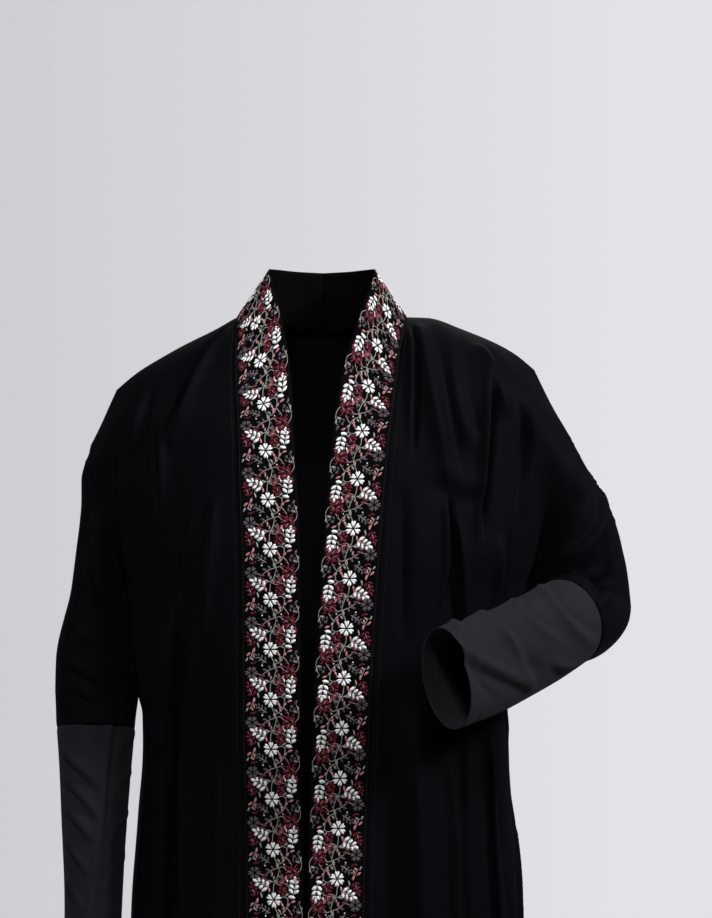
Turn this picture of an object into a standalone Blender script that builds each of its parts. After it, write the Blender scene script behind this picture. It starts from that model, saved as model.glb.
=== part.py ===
"""An open-front abaya cloak, worn: a batwing body, fitted lower sleeves and an embroidered border.

Metres, +Z up. The wearer faces -Y and has their left hand at +X. The origin is midway between the
two high shoulder points, where the wearer's shoulders carry the cloak. The wearer's right arm hangs
and their left forearm crosses in front of the body.

Every panel is a grid of points on one set of level sections. "drop" is how far a section hangs
below the shoulder ridge. Each section runs from the opening round the trunk to the trough beside
the arm, and from the trough round the arm to the seam along its outer side.
"""

import math

import bpy
import numpy as np

# ---------------------------------------------------------------- driving dimensions
LENGTH = 1.42            # high shoulder point to hem
CLOTH = 0.0012           # wall of the crepe panels and of the sleeve cloth
BORDER_CLOTH = 0.0016    # wall of the border, which is a ribbon on a strip of crepe
SEAM_GAP = 0.0003        # between two pieces where they are sewn together
NECK_HALF_WIDTH = 0.084  # centre line to high shoulder point
NECK_DEPTH = 0.072       # shoulder line to the neck seam at the centre back
NECK_SCOOP = 0.008       # how far the neck seam dips at the centre back
SHOULDER_FADE = 0.30     # drop by which the sections have become level
TRUNK_POWER = 2.4        # squareness of the trunk's sections
SHOULDER_ARCH = 0.16     # drop over which cloth rounds the shoulder, beside the neck
ARM_ARCH = 0.05          # the same, over the arm
LEAN_MARGIN = 1.35       # spare, where the walls of a seam lean towards each other
CROTCH_ROOM = 0.0006     # more gap at the split, where four walls meet
RIGHT, LEFT = -1, 1      # the wearer's sides, as the sign of X
FRONT, BACK = -1, 1      # the faces of the cloak, as the sign of Y

# The drops that the sections are taken at, from the shoulder ridge to the hem.
DROPS = np.array([
    0, 0.006, 0.02, 0.045, 0.08, 0.12, 0.16, 0.20, 0.235, 0.265, 0.29, 0.33, 0.372,
    0.395, 0.43, 0.50, 0.58, 0.68, 0.80, 0.93, 1.07, 1.24, LENGTH,
])
SPLIT_DROP = {RIGHT: 0.372, LEFT: 0.29}   # where the sleeve leaves the trunk
NECK_COLUMNS = 5         # strips of the back from its centre to the high shoulder point
SIDE_COLUMNS = 13        # strips of a front, or of the back, from there out to the trough
ARM_COLUMNS = 5          # strips of each panel round an arm
BORDER_COLUMNS = 3       # strips across the border
SLEEVE_SIDES = 18        # sides of a lower sleeve


def table(names, rows):
    """Rows of numbers as a dict of named columns."""
    return dict(zip(names.split(), np.array(rows, float).T))


# Depth of the trunk's sections at the centre front and back.
TRUNK = table("drop front back wrap", [
    (0.00, 0.105, 0.100, 50),
    (0.08, 0.117, 0.112, 56),
    (0.16, 0.131, 0.120, 68),
    (0.25, 0.141, 0.121, 78),
    (0.34, 0.141, 0.118, 82),
    (0.43, 0.139, 0.120, 88),
    (0.58, 0.145, 0.128, 90),
    (0.80, 0.158, 0.145, 90),
    (1.07, 0.176, 0.168, 90),
    (1.42, 0.200, 0.196, 90),
])
# The trough between the trunk and the arm: how far out it is, and its Y on the front and the back.
# Below the split it is the side seam, which is one line.
SIDES = {
    RIGHT: table("drop out front back", [
        (0.000, 0.1650, -0.075, 0.070),
        (0.020, 0.1800, -0.075, 0.070),
        (0.045, 0.2000, -0.072, 0.070),
        (0.080, 0.2135, -0.060, 0.065),
        (0.120, 0.2145, -0.048, 0.060),
        (0.160, 0.2090, -0.040, 0.055),
        (0.200, 0.2030, -0.033, 0.047),
        (0.270, 0.1915, -0.024, 0.032),
        (0.340, 0.1850, -0.018, 0.010),
        (0.372, 0.1830, -0.012, -0.012),
        (0.395, 0.1780, -0.008, -0.008),
        (0.430, 0.1790, 0.014, 0.014),
        (0.500, 0.1855, 0.030, 0.030),
        (0.600, 0.1900, 0.022, 0.022),
        (0.800, 0.2020, 0.006, 0.006),
        (1.070, 0.2210, 0.000, 0.000),
        (1.420, 0.2480, 0.000, 0.000),
    ]),
    LEFT: table("drop out front back", [
        (0.000, 0.1650, -0.075, 0.070),
        (0.020, 0.1800, -0.075, 0.070),
        (0.045, 0.1980, -0.072, 0.070),
        (0.080, 0.2130, -0.062, 0.065),
        (0.120, 0.2186, -0.052, 0.060),
        (0.160, 0.2186, -0.044, 0.050),
        (0.200, 0.2170, -0.034, 0.035),
        (0.235, 0.2120, -0.024, 0.018),
        (0.265, 0.2060, -0.012, 0.003),
        (0.290, 0.2030, -0.004, -0.004),
        (0.330, 0.1970, 0.006, 0.006),
        (0.372, 0.1870, 0.006, 0.006),
        (0.400, 0.1840, 0.004, 0.004),
        (0.450, 0.1860, 0.000, 0.000),
        (0.600, 0.2000, 0.000, 0.000),
        (0.800, 0.2150, 0.000, 0.000),
        (1.070, 0.2370, 0.000, 0.000),
        (1.420, 0.2660, 0.000, 0.000),
    ]),
}
# The arm's outer side (out, y), how far the sleeve bulges forward and back of the line from the
# trough to it, how round that has become, and how far its front has risen and its back has sunk
# towards a bent elbow.
ARMS = {
    RIGHT: table("drop out y front back round tilt", [
        (0.000, 0.2050, 0.000, 0.010, 0.020, 0.0, 0),
        (0.020, 0.2175, 0.000, 0.010, 0.020, 0.0, 0),
        (0.045, 0.2315, 0.000, 0.011, 0.021, 0.0, 0),
        (0.080, 0.2390, 0.000, 0.015, 0.025, 0.0, 0),
        (0.120, 0.2385, 0.000, 0.021, 0.030, 0.0, 0),
        (0.160, 0.2400, 0.000, 0.029, 0.035, 0.0, 0),
        (0.200, 0.2430, 0.000, 0.036, 0.040, 0.0, 0),
        (0.270, 0.2500, -0.003, 0.044, 0.045, 0.15, 0),
        (0.340, 0.2635, -0.008, 0.049, 0.050, 0.65, 0),
        (0.372, 0.2635, -0.012, 0.050, 0.050, 1.0, 0),
    ]),
    LEFT: table("drop out y front back round tilt", [
        (0.000, 0.2120, 0.000, 0.010, 0.020, 0.0, 0),
        (0.020, 0.2270, 0.000, 0.010, 0.020, 0.0, 0),
        (0.045, 0.2480, 0.000, 0.014, 0.024, 0.0, 0),
        (0.080, 0.2720, 0.000, 0.022, 0.034, 0.0, 0),
        (0.120, 0.2890, 0.003, 0.031, 0.041, 0.0, 0),
        (0.160, 0.2960, 0.006, 0.038, 0.046, 0.05, 0),
        (0.200, 0.3005, 0.009, 0.043, 0.050, 0.30, 0.004),
        (0.235, 0.3045, 0.010, 0.047, 0.051, 0.60, 0.010),
        (0.265, 0.3070, 0.008, 0.048, 0.050, 0.85, 0.015),
        (0.290, 0.3085, 0.004, 0.048, 0.048, 1.0, 0.020),
    ]),
}
# The shoulder ridge, from the neck out; the left shoulder is a little raised with its arm.
RIDGES = {
    RIGHT: table("out z", [
        (0.084, 0.0), (0.105, -0.012), (0.145, -0.032), (0.178, -0.052), (0.205, -0.072), (0.3, -0.15),
    ]),
    LEFT: table("out z", [
        (0.084, 0.0), (0.105, -0.001), (0.137, -0.011), (0.185, -0.032), (0.212, -0.052), (0.3, -0.13),
    ]),
}
# X of the border's two edges. The seam joins it to the front, and the free edge is the opening.
BORDER_EDGES = {
    RIGHT: table("drop seam free", [
        (0.000, -0.0840, -0.0400), (0.045, -0.0843, -0.0335), (0.080, -0.0827, -0.0285),
        (0.125, -0.0800, -0.0250), (0.190, -0.0779, -0.0205), (0.240, -0.0757, -0.0185),
        (0.380, -0.0750, -0.0185), (0.600, -0.0715, -0.0150), (1.000, -0.0750, -0.0180),
        (1.420, -0.0850, -0.0270),
    ]),
    LEFT: table("drop seam free", [
        (0.000, 0.0840, 0.0400), (0.015, 0.0820, 0.0365), (0.045, 0.0765, 0.0270),
        (0.080, 0.0725, 0.0170), (0.125, 0.0670, 0.0105), (0.190, 0.0610, 0.0040),
        (0.290, 0.0540, -0.0030), (0.380, 0.0492, -0.0070), (0.600, 0.0430, -0.0125),
        (1.000, 0.0450, -0.0110), (1.420, 0.0530, -0.0030),
    ]),
}
# The border's free edge where it stands round the neck: its X, for the right side, Y and Z, by the
# share of the way round from the front (0, at STAND_DROP) to the high shoulder (0.5) and the
# centre back (1).
STAND_DROP = 0.12
STAND = table("way x y z", [
    (0.00, -0.0255, -0.1200, -0.116),
    (0.12, -0.0310, -0.1000, -0.071),
    (0.24, -0.0370, -0.0750, -0.026),
    (0.36, -0.0440, -0.0480, 0.012),
    (0.50, -0.0520, -0.0120, 0.046),
    (0.62, -0.0520, 0.0180, 0.050),
    (0.76, -0.0430, 0.0430, 0.051),
    (0.88, -0.0240, 0.0570, 0.050),
    (1.00, 0.0000, 0.0615, 0.049),
])
# The largest folds of each face: X and drop where each starts, X at the hem, how deep it is at the
# hip and at the hem, and its half width at both. A ridge has a negative depth.
FOLD_COLUMNS = "x start x_hem hip hem wide wide_hem"
HIP_DROP = 0.55
FOLDS = {
    (RIGHT, FRONT): table(FOLD_COLUMNS, [
        (-0.124, 0.22, -0.182, 0.012, 0.024, 0.010, 0.020),
        (-0.158, 0.30, -0.222, 0.009, 0.020, 0.008, 0.016),
        (-0.096, 0.62, -0.120, 0.006, 0.022, 0.012, 0.017),
    ]),
    (LEFT, FRONT): table(FOLD_COLUMNS, [
        (0.064, 0.30, 0.085, 0.008, 0.020, 0.013, 0.018),
        (0.127, 0.16, 0.143, 0.014, 0.026, 0.012, 0.019),
        (0.150, 0.33, 0.212, 0.011, 0.022, 0.010, 0.017),
    ]),
    (RIGHT, BACK): table(FOLD_COLUMNS, [
        (-0.038, 0.24, -0.052, 0.011, 0.026, 0.013, 0.021),
        (-0.092, 0.16, -0.124, 0.013, 0.030, 0.012, 0.021),
        (-0.146, 0.24, -0.193, 0.011, 0.024, 0.011, 0.019),
    ]),
    (LEFT, BACK): table(FOLD_COLUMNS, [
        (0.016, 0.34, 0.020, 0.009, 0.024, 0.012, 0.020),
        (0.066, 0.16, 0.086, 0.014, 0.030, 0.013, 0.021),
        (0.118, 0.22, 0.152, 0.012, 0.027, 0.011, 0.020),
        (0.160, 0.34, 0.214, 0.010, 0.022, 0.010, 0.018),
    ]),
}
# Rings that the sleeves pass through below the split: the centre, the direction down the arm, the
# half sizes across it (towards its outer side) and along its front, and where the underarm seam
# lies, in degrees round from the outer side.
ARM_END = {
    RIGHT: dict(centre=(-0.2237, -0.022, -0.407), along=(0.0, -0.156, -1.0), across=0.0380,
                deep=0.050, seam=118, rows=3),
    LEFT: dict(centre=(0.2400, -0.060, -0.300), along=(-0.620, -0.755, -0.210), across=0.0410,
               deep=0.042, seam=200, rows=5),
}
CUFF = {
    RIGHT: dict(centre=(-0.2240, -0.056, -0.618), along=(0.0, -0.16, -1.0), across=0.0265, deep=0.044),
    LEFT: dict(centre=(0.1170, -0.210, -0.3430), along=(-0.620, -0.755, -0.210), across=0.0265, deep=0.047),
}
SLEEVE_ROWS = 8
SLEEVE_SAG = {RIGHT: 0.0, LEFT: 0.005}    # how far the cloth under a raised forearm hangs


# ---------------------------------------------------------------- numbers
def ease(t):
    """0 up to t = 0, 1 from t = 1, and a smooth step between."""
    t = np.clip(t, 0, 1)
    return t * t * (3 - 2 * t)


def read(tab, name, at, key="drop"):
    """A column of a table between its rows: a cubic through them that doesn't overshoot."""
    x, y = tab[key], tab[name]
    step = np.diff(x)
    rise = np.diff(y) / step
    slope = np.concatenate([rise[:1], np.zeros(len(x) - 2), rise[-1:]])
    both = np.where(rise[:-1] * rise[1:] > 0, rise[:-1] + rise[1:], np.inf)
    slope[1:-1] = 2 * rise[:-1] * rise[1:] / both
    at = np.clip(at, x[0], x[-1])
    i = np.clip(np.searchsorted(x, at) - 1, 0, len(step) - 1)
    t = (at - x[i]) / step[i]
    cubic = (1 + 2 * t) * (1 - t) ** 2 * y[i] + t * t * (3 - 2 * t) * y[i + 1]
    return cubic + step[i] * t * (1 - t) * ((1 - t) * slope[i] - t * slope[i + 1])


def unit(v):
    v = np.asarray(v, float)
    return v / np.linalg.norm(v, axis=-1, keepdims=True)


def signed_power(v, power):
    return np.sign(v) * np.abs(v) ** power


# ---------------------------------------------------------------- the cloth's surface
def trunk_reach(side, drop):
    """(half width of the whole superellipse, its angle at the trough) of a trunk section."""
    wrap = np.radians(read(TRUNK, "wrap", drop))
    return read(SIDES[side], "out", drop) / np.sin(wrap) ** (2 / TRUNK_POWER), wrap


def angle_at(side, drop, x):
    """The section's angle where it passes x: 0 at the centre line, growing towards the trough."""
    reach, _ = trunk_reach(side, drop)
    return np.arcsin(signed_power(side * x / reach, TRUNK_POWER / 2))


def rest_line(side, x):
    """(y, z) of the shoulder ridge, and of the neck seam between the high shoulder points."""
    share = np.clip(np.abs(x) / NECK_HALF_WIDTH, 0, 1)
    y = NECK_DEPTH * np.sqrt(1 - share**2)
    z = read(RIDGES[side], "z", np.abs(x), "out") - NECK_SCOOP * (1 - share**2)
    return y, z


def hung(side, face, x, y_full, drop):
    """Points of a section: the ridge at no drop, rounding over the shoulder to the full section."""
    y_rest, z_rest = rest_line(side, x)
    if face == FRONT:
        y_rest, z_rest = 0 * y_rest, read(RIDGES[side], "z", np.abs(x), "out")
    outwards = ease(np.abs(x) / read(ARMS[side], "out", drop))
    arch = SHOULDER_ARCH + (ARM_ARCH - SHOULDER_ARCH) * outwards
    rounding = np.sqrt(1 - (1 - np.clip(drop / arch, 0, 1)) ** 2)
    level = 1 - ease(drop / SHOULDER_FADE)
    return np.stack([x, y_rest + (y_full - y_rest) * rounding, z_rest * level - drop], axis=-1)


def fold_depth(side, face, x, drop):
    """How far the folds push the cloth in at each point: a soft trough along each fold's line."""
    depth = 0 * x
    folds = FOLDS[side, face]
    for start_x, start, x_hem, hip, hem, wide, wide_hem in zip(*folds.values()):
        down = np.clip((drop - start) / (LENGTH - start), 0, 1)
        lower = np.clip((drop - HIP_DROP) / (LENGTH - HIP_DROP), 0, 1)
        away = (x - start_x - (x_hem - start_x) * down) / (wide + (wide_hem - wide) * lower)
        depth = depth + (hip + (hem - hip) * lower) * ease((drop - start) / 0.18) * np.exp(-away**2)
    return depth


def trunk(side, face, angle, drop):
    """Points of the trunk at these section angles and drops, with the folds pressed in."""
    reach, wrap = trunk_reach(side, drop)
    power = 2 / TRUNK_POWER
    centre = face * read(TRUNK, "front" if face == FRONT else "back", drop)
    trough = read(SIDES[side], "front" if face == FRONT else "back", drop)
    at_trough = np.abs(np.cos(wrap)) ** power
    far = (trough - centre * at_trough) / (1 - at_trough)
    x = side * reach * signed_power(np.sin(angle), power)
    y = far + (centre - far) * np.abs(np.cos(angle)) ** power
    y = y - face * fold_depth(side, face, x, drop) * ease((wrap - angle) / math.radians(12))
    return hung(side, face, x, y, drop)


def over_arm(side, face, way, drop):
    """Points over the arm above the split, from the trough (way 0) to the outer seam (way 1)."""
    tab = ARMS[side]
    name = "front" if face == FRONT else "back"
    trough = [side * read(SIDES[side], "out", drop), read(SIDES[side], name, drop)]
    outer = [side * read(tab, "out", drop), read(tab, "y", drop)]
    bulge = face * read(tab, name, drop)
    roundness = read(tab, "round", drop)
    share = (1 - roundness) * np.sin(np.pi / 2 * way) + roundness * (1 - np.cos(np.pi * way)) / 2
    x = trough[0] + (outer[0] - trough[0]) * share
    y = trough[1] + (outer[1] - trough[1]) * share + bulge * np.sin(np.pi * way)
    points = hung(side, face, x, y, drop)
    points[..., 2] -= face * read(tab, "tilt", drop) * np.sin(np.pi * way)
    return points


# ---------------------------------------------------------------- rings of the sleeves
def ring_frame(side, along):
    """(towards the arm's outer side, towards its front) for a ring across this direction."""
    along = unit(along)
    outer = unit(np.cross(along, (0, 0, 1.0)) * -side + np.array([side * 1e-3, 0, 0]))
    front = unit(np.cross(outer, along)) * -side
    return outer, front


def ring_points(centre, outer, front, across, deep, degrees):
    """Points round an ellipse; 0 degrees is its outer side and 90 its front."""
    turn = np.radians(degrees)[..., None]
    return centre + across * np.cos(turn) * outer + deep * np.sin(turn) * front


def split_ring(side):
    """The closed ring that both faces of the sleeve reach at the split."""
    drop, arm, trunk_side = SPLIT_DROP[side], ARMS[side], SIDES[side]
    trough = np.array([side * read(trunk_side, "out", drop), read(trunk_side, "front", drop), -drop])
    outer = np.array([side * read(arm, "out", drop), read(arm, "y", drop), -drop])
    front = np.array([0, -read(arm, "front", drop), read(arm, "tilt", drop)])
    along = np.cross(outer - trough, front) * side
    return dict(centre=(trough + outer) / 2, outer=unit(outer - trough), front=unit(front), seam=180,
                along=unit(along), across=np.linalg.norm(outer - trough) / 2, deep=np.linalg.norm(front))


def arm_ring(side, way):
    """The sleeve's ring between the split (way 0) and the seam with the lower sleeve (way 1)."""
    top, end = split_ring(side), ARM_END[side]
    outer, front = ring_frame(side, end["along"])
    centre = np.array(end["centre"])
    reach = np.linalg.norm(centre - top["centre"])
    cubic = (2 * way**3 - 3 * way**2 + 1) * top["centre"] + (3 * way**2 - 2 * way**3) * centre
    cubic = cubic + (way**3 - 2 * way**2 + way) * reach * top["along"]
    cubic = cubic + (way**3 - way**2) * reach * unit(end["along"])
    blend = {name: top[name] + (end[name] - top[name]) * way for name in ("across", "deep")}
    blend["seam"] = top["seam"] + (end["seam"] - top["seam"]) * way**3
    return dict(centre=cubic, outer=unit(top["outer"] * (1 - way) + outer * way),
                front=unit(top["front"] * (1 - way) + front * way), **blend)


def arm_row(side, face, way, columns):
    """One row of a panel round the sleeve below the split, from the underarm seam to the outer."""
    ring = arm_ring(side, way)
    share = np.linspace(0, 1, columns + 1)
    if face == FRONT:
        degrees = ring["seam"] * (1 - share)
    else:
        degrees = ring["seam"] + (360 - ring["seam"]) * share
    return ring_points(ring["centre"], ring["outer"], ring["front"], ring["across"], ring["deep"], degrees)


def sleeve_rings(side, rows, sides):
    """Closed rings of the lower sleeve from its top seam to the cuff, sides points each."""
    top, cuff = arm_ring(side, 1.0), CUFF[side]
    outer, front = ring_frame(side, cuff["along"])
    step = unit(np.array(cuff["centre"]) - top["centre"]) * (SEAM_GAP + CLOTH / 4)
    rings = []
    for way in np.linspace(0, 1, rows + 1):
        centre = (top["centre"] + step) * (1 - way) + np.array(cuff["centre"]) * way
        centre[2] -= SLEEVE_SAG[side] * math.sin(math.pi * way)
        across = top["across"] + (cuff["across"] - top["across"]) * (1 - (1 - way) ** 1.6)
        sag = SLEEVE_SAG[side] * math.sin(math.pi * way)
        deep = top["deep"] + (cuff["deep"] - top["deep"]) * way + sag / 2
        degrees = np.arange(sides) * 360 / sides
        rings.append(ring_points(centre, unit(top["outer"] * (1 - way) + outer * way),
                                 unit(top["front"] * (1 - way) + front * way), across, deep, degrees))
    return np.array(rings)


# ---------------------------------------------------------------- panels as grids
def trunk_grid(side, face):
    """A panel's trunk, from its border seam or the centre back to the trough or the side seam."""
    _, wrap = trunk_reach(side, DROPS)
    if face == FRONT:
        start = angle_at(side, DROPS, read(BORDER_EDGES[side], "seam", DROPS))[:, None]
        angle = start + (wrap[:, None] - start) * np.linspace(0, 1, SIDE_COLUMNS + 1)
    else:
        neck = angle_at(side, DROPS, side * NECK_HALF_WIDTH)[:, None]
        inner = neck * np.linspace(0, 1, NECK_COLUMNS + 1)
        outer = neck + (wrap[:, None] - neck) * np.linspace(0, 1, SIDE_COLUMNS + 1)[1:]
        angle = np.concatenate([inner, outer], axis=1)
    return trunk(side, face, angle, DROPS[:, None])


def arm_grid(side, face):
    """A panel's sleeve, from the trough or the underarm seam to the outer seam."""
    drops = DROPS[DROPS <= SPLIT_DROP[side] + 1e-9]
    above = over_arm(side, face, np.linspace(0, 1, ARM_COLUMNS + 1), drops[:, None])
    ways = np.linspace(0, 1, ARM_END[side]["rows"] + 1)[1:]
    return np.concatenate([above, [arm_row(side, face, way, ARM_COLUMNS) for way in ways]])


def border_half(side):
    """A length of the border, from its join at the centre back down to the hem: rows across it."""
    shares = np.arange(NECK_COLUMNS) / NECK_COLUMNS
    seam_x = read(BORDER_EDGES[side], "seam", DROPS)
    free_x = read(BORDER_EDGES[side], "free", DROPS)
    seam = trunk(side, FRONT, angle_at(side, DROPS, seam_x), DROPS)
    free = trunk(side, FRONT, angle_at(side, DROPS, free_x), DROPS)
    way = np.clip((STAND_DROP - DROPS) / STAND_DROP, 0, 1) * 0.5
    stand = stand_edge(side, way)
    stand[:, 0] = free_x + (stand[:, 0] - free_x) * ease(way / 0.5)
    free = free + (stand - free) * ease(way / 0.15)[:, None]
    neck = trunk(side, BACK, angle_at(side, 0.0, side * NECK_HALF_WIDTH) * shares, 0.0)
    seam = np.concatenate([neck, seam])
    free = np.concatenate([stand_edge(side, 1 - 0.5 * shares), free])
    share = np.linspace(0, 1, BORDER_COLUMNS + 1)[None, :, None]
    return seam[:, None] * (1 - share) + free[:, None] * share


def sew(first, second, thickness=CLOTH, round_arm=False):
    """Parts the first column that two grids share by the seam gap, and more where walls lean in."""
    edge = first[:, 0].copy()
    into_first = unit(first[:, 1] - edge)
    into_second = unit(second[:, 1] - edge)
    inside = edge * (0, 0, 1) - (0, 0, 0.1)
    if round_arm:
        inside = np.concatenate([first, second], axis=1).mean(axis=1)
    outwards = unit(np.cross(np.gradient(edge, axis=0), into_first - into_second))
    outwards *= np.sign((outwards * (edge - inside)).sum(axis=-1, keepdims=True))
    lean = np.arcsin(np.clip(((into_first + into_second) * outwards).sum(axis=-1) / 2, 0, 0.9))
    room = (SEAM_GAP / 2 + LEAN_MARGIN * thickness * np.tan(lean))[:, None]
    first[:, 0] += into_first * room
    second[:, 0] += into_second * room


def cut_and_sewn(side):
    """This side's grids, by (face, part), parted where the pieces are sewn together."""
    grids = {(face, "trunk"): trunk_grid(side, face) for face in (FRONT, BACK)}
    grids.update({(face, "arm"): arm_grid(side, face) for face in (FRONT, BACK)})
    front, back = grids[FRONT, "trunk"], grids[BACK, "trunk"]
    front_arm, back_arm = grids[FRONT, "arm"], grids[BACK, "arm"]
    border = border_half(side)
    split = np.count_nonzero(DROPS <= SPLIT_DROP[side] + 1e-9) - 1
    sew(front.swapaxes(0, 1), back.swapaxes(0, 1)[NECK_COLUMNS:])
    sew(front_arm.swapaxes(0, 1), back_arm.swapaxes(0, 1))
    sew(front_arm[:, ::-1], back_arm[:, ::-1], round_arm=True)
    sew(front[split:, ::-1], back[split:, ::-1])
    sew(front_arm[split + 1:], back_arm[split + 1:], round_arm=True)
    sew(front, border[NECK_COLUMNS:], BORDER_CLOTH)
    sew(border[: NECK_COLUMNS + 1], back.swapaxes(0, 1)[: NECK_COLUMNS + 1], BORDER_CLOTH)
    for body in (front, back):
        body[split, -1] += unit(body[split, -2] - body[split, -1]) * CROTCH_ROOM
    front_arm[: split + 1, 0] = front[: split + 1, -1]
    back_arm[: split + 1, 0] = back[: split + 1, -1]
    grids["border"] = border
    return grids


def stand_edge(side, way):
    """Points of the border's free edge where it stands round the neck."""
    return np.stack([-side * read(STAND, "x", way, "way"), read(STAND, "y", way, "way"),
                     read(STAND, "z", way, "way")], axis=-1)


# ---------------------------------------------------------------- Blender objects
def fresh_collection(name):
    for old in list(bpy.data.objects):
        bpy.data.objects.remove(old)
    collection = bpy.data.collections.new(name)
    bpy.context.scene.collection.children.link(collection)
    return collection


def material(name, colour, roughness):
    made = bpy.data.materials.new(name)
    made.use_nodes = True
    shader = made.node_tree.nodes["Principled BSDF"]
    shader.inputs["Base Color"].default_value = (*colour, 1)
    shader.inputs["Roughness"].default_value = roughness
    shader.inputs["Metallic"].default_value = 0
    return made


def wall(name, grids, thickness, finish, collection):
    """A sheet of cloth: an open surface given its thickness outwards by a Solidify modifier."""
    points, faces = joined(grids)
    mesh = bpy.data.meshes.new(name)
    mesh.from_pydata([tuple(p) for p in points], [], faces)
    mesh.shade_smooth()
    sheet = bpy.data.objects.new(name, mesh)
    sheet.data.materials.append(finish)
    collection.objects.link(sheet)
    solidify = sheet.modifiers.new("cloth", "SOLIDIFY")
    solidify.thickness = thickness
    solidify.offset = 1
    return sheet


def joined(grids):
    """Several grids as one list of points and faces, with points that meet made one."""
    points, faces, numbers = [], [], {}
    for grid, flip in grids:
        number = np.zeros(grid.shape[:2], int)
        for place in np.ndindex(number.shape):
            key = tuple(np.round(grid[place], 6))
            if key not in numbers:
                numbers[key] = len(points)
                points.append(grid[place])
            number[place] = numbers[key]
        corners = np.stack([number[:-1, :-1], number[1:, :-1], number[1:, 1:], number[:-1, 1:]], axis=-1)
        faces += [tuple(int(k) for k in (face if flip else face[::-1])) for face in corners.reshape(-1, 4)]
    return points, faces


def main():
    abaya = fresh_collection("abaya")
    crepe = material("black_crepe", (0.006, 0.006, 0.008), 0.85)
    charcoal = material("charcoal_jersey", (0.022, 0.021, 0.026), 0.9)
    ribbon = material("embroidered_ribbon", (0.10, 0.06, 0.065), 0.8)
    right, left = cut_and_sewn(RIGHT), cut_and_sewn(LEFT)
    back = [(right[BACK, "trunk"], True), (right[BACK, "arm"], True)]
    back += [(left[BACK, "trunk"], False), (left[BACK, "arm"], False)]
    wall("back_panel", back, CLOTH, crepe, abaya)
    fronts = [(right[FRONT, "trunk"], False), (right[FRONT, "arm"], False)]
    wall("front_panel_right", fronts, CLOTH, crepe, abaya)
    fronts = [(left[FRONT, "trunk"], True), (left[FRONT, "arm"], True)]
    wall("front_panel_left", fronts, CLOTH, crepe, abaya)
    sew(right["border"].swapaxes(0, 1), left["border"].swapaxes(0, 1), BORDER_CLOTH)
    wall("front_border_right", [(right["border"], True)], BORDER_CLOTH, ribbon, abaya)
    wall("front_border_left", [(left["border"], False)], BORDER_CLOTH, ribbon, abaya)
    for side, name in ((RIGHT, "lower_sleeve_right"), (LEFT, "lower_sleeve_left")):
        rings = sleeve_rings(side, SLEEVE_ROWS, SLEEVE_SIDES)
        wall(name, [(np.concatenate([rings, rings[:, :1]], axis=1), side == RIGHT)], CLOTH, charcoal, abaya)


main()
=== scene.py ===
"""An open-front abaya cloak, worn and hollow, built in the order that it is cut and sewn.

Metres, +Z up. The wearer faces -Y and has their left hand at +X. The right arm hangs and the left
forearm crosses in front. Every panel is a grid of points: rows are level sections of the cloak, and
columns run from the opening, or the centre back, out to the arm.
"""
import math

import bpy
import numpy as np
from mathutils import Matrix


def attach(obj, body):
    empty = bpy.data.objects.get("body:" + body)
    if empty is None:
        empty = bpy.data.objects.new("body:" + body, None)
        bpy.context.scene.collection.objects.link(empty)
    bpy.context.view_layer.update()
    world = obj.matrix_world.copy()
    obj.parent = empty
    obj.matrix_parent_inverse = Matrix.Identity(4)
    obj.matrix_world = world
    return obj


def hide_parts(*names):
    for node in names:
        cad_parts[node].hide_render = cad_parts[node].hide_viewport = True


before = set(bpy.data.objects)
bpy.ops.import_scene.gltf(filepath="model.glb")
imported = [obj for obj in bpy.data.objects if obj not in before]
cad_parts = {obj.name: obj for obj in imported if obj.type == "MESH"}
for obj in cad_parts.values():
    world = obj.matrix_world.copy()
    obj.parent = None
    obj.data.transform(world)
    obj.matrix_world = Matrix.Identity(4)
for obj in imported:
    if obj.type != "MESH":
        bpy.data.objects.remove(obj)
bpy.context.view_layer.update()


# ================================================================ the studio
# A pale studio: a soft key light high in front whose beam is narrow enough to leave the skirt dark, a
# light at each side and one behind. The floor is just under the hem.
FLOOR_Z = -1.45
FLOOR_HALF = 4.4
SCENE = bpy.context.scene
SCENE.view_settings.view_transform = "Standard"

camera = bpy.data.objects.new("camera", bpy.data.cameras.new("camera"))
camera.location = (0.034, -2.6, -0.141)
camera.rotation_euler = (math.radians(90), 0, 0)
camera.data.lens = 101.96
SCENE.collection.objects.link(camera)
SCENE.camera = camera


def soft_light(name, place, target, size, watts, beam=180):
    """A square area light at place, turned so that it shines at target; beam is in degrees."""
    light = bpy.data.lights.new(name, "AREA")
    light.size = size
    light.energy = watts
    light.spread = math.radians(beam)
    lamp = bpy.data.objects.new(name, light)
    lamp.location = place
    away = np.array(place) - np.array(target)
    lamp.rotation_euler = (math.atan2(math.hypot(away[0], away[1]), away[2]), 0,
                           math.atan2(away[0], -away[1]))
    SCENE.collection.objects.link(lamp)


soft_light("key", (0.1, -2.5, 1.6), (0.03, 0, 0.0), 0.5, 6.0, 60)
soft_light("right", (2.4, -1.0, 1.4), (0.1, 0, 0.0), 0.6, 18, 80)
soft_light("left", (-2.3, -1.5, 1.0), (-0.1, 0, -0.2), 0.9, 18)
soft_light("edge", (0.3, 2.4, 1.6), (0, 0, -0.4), 1.6, 14)

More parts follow.
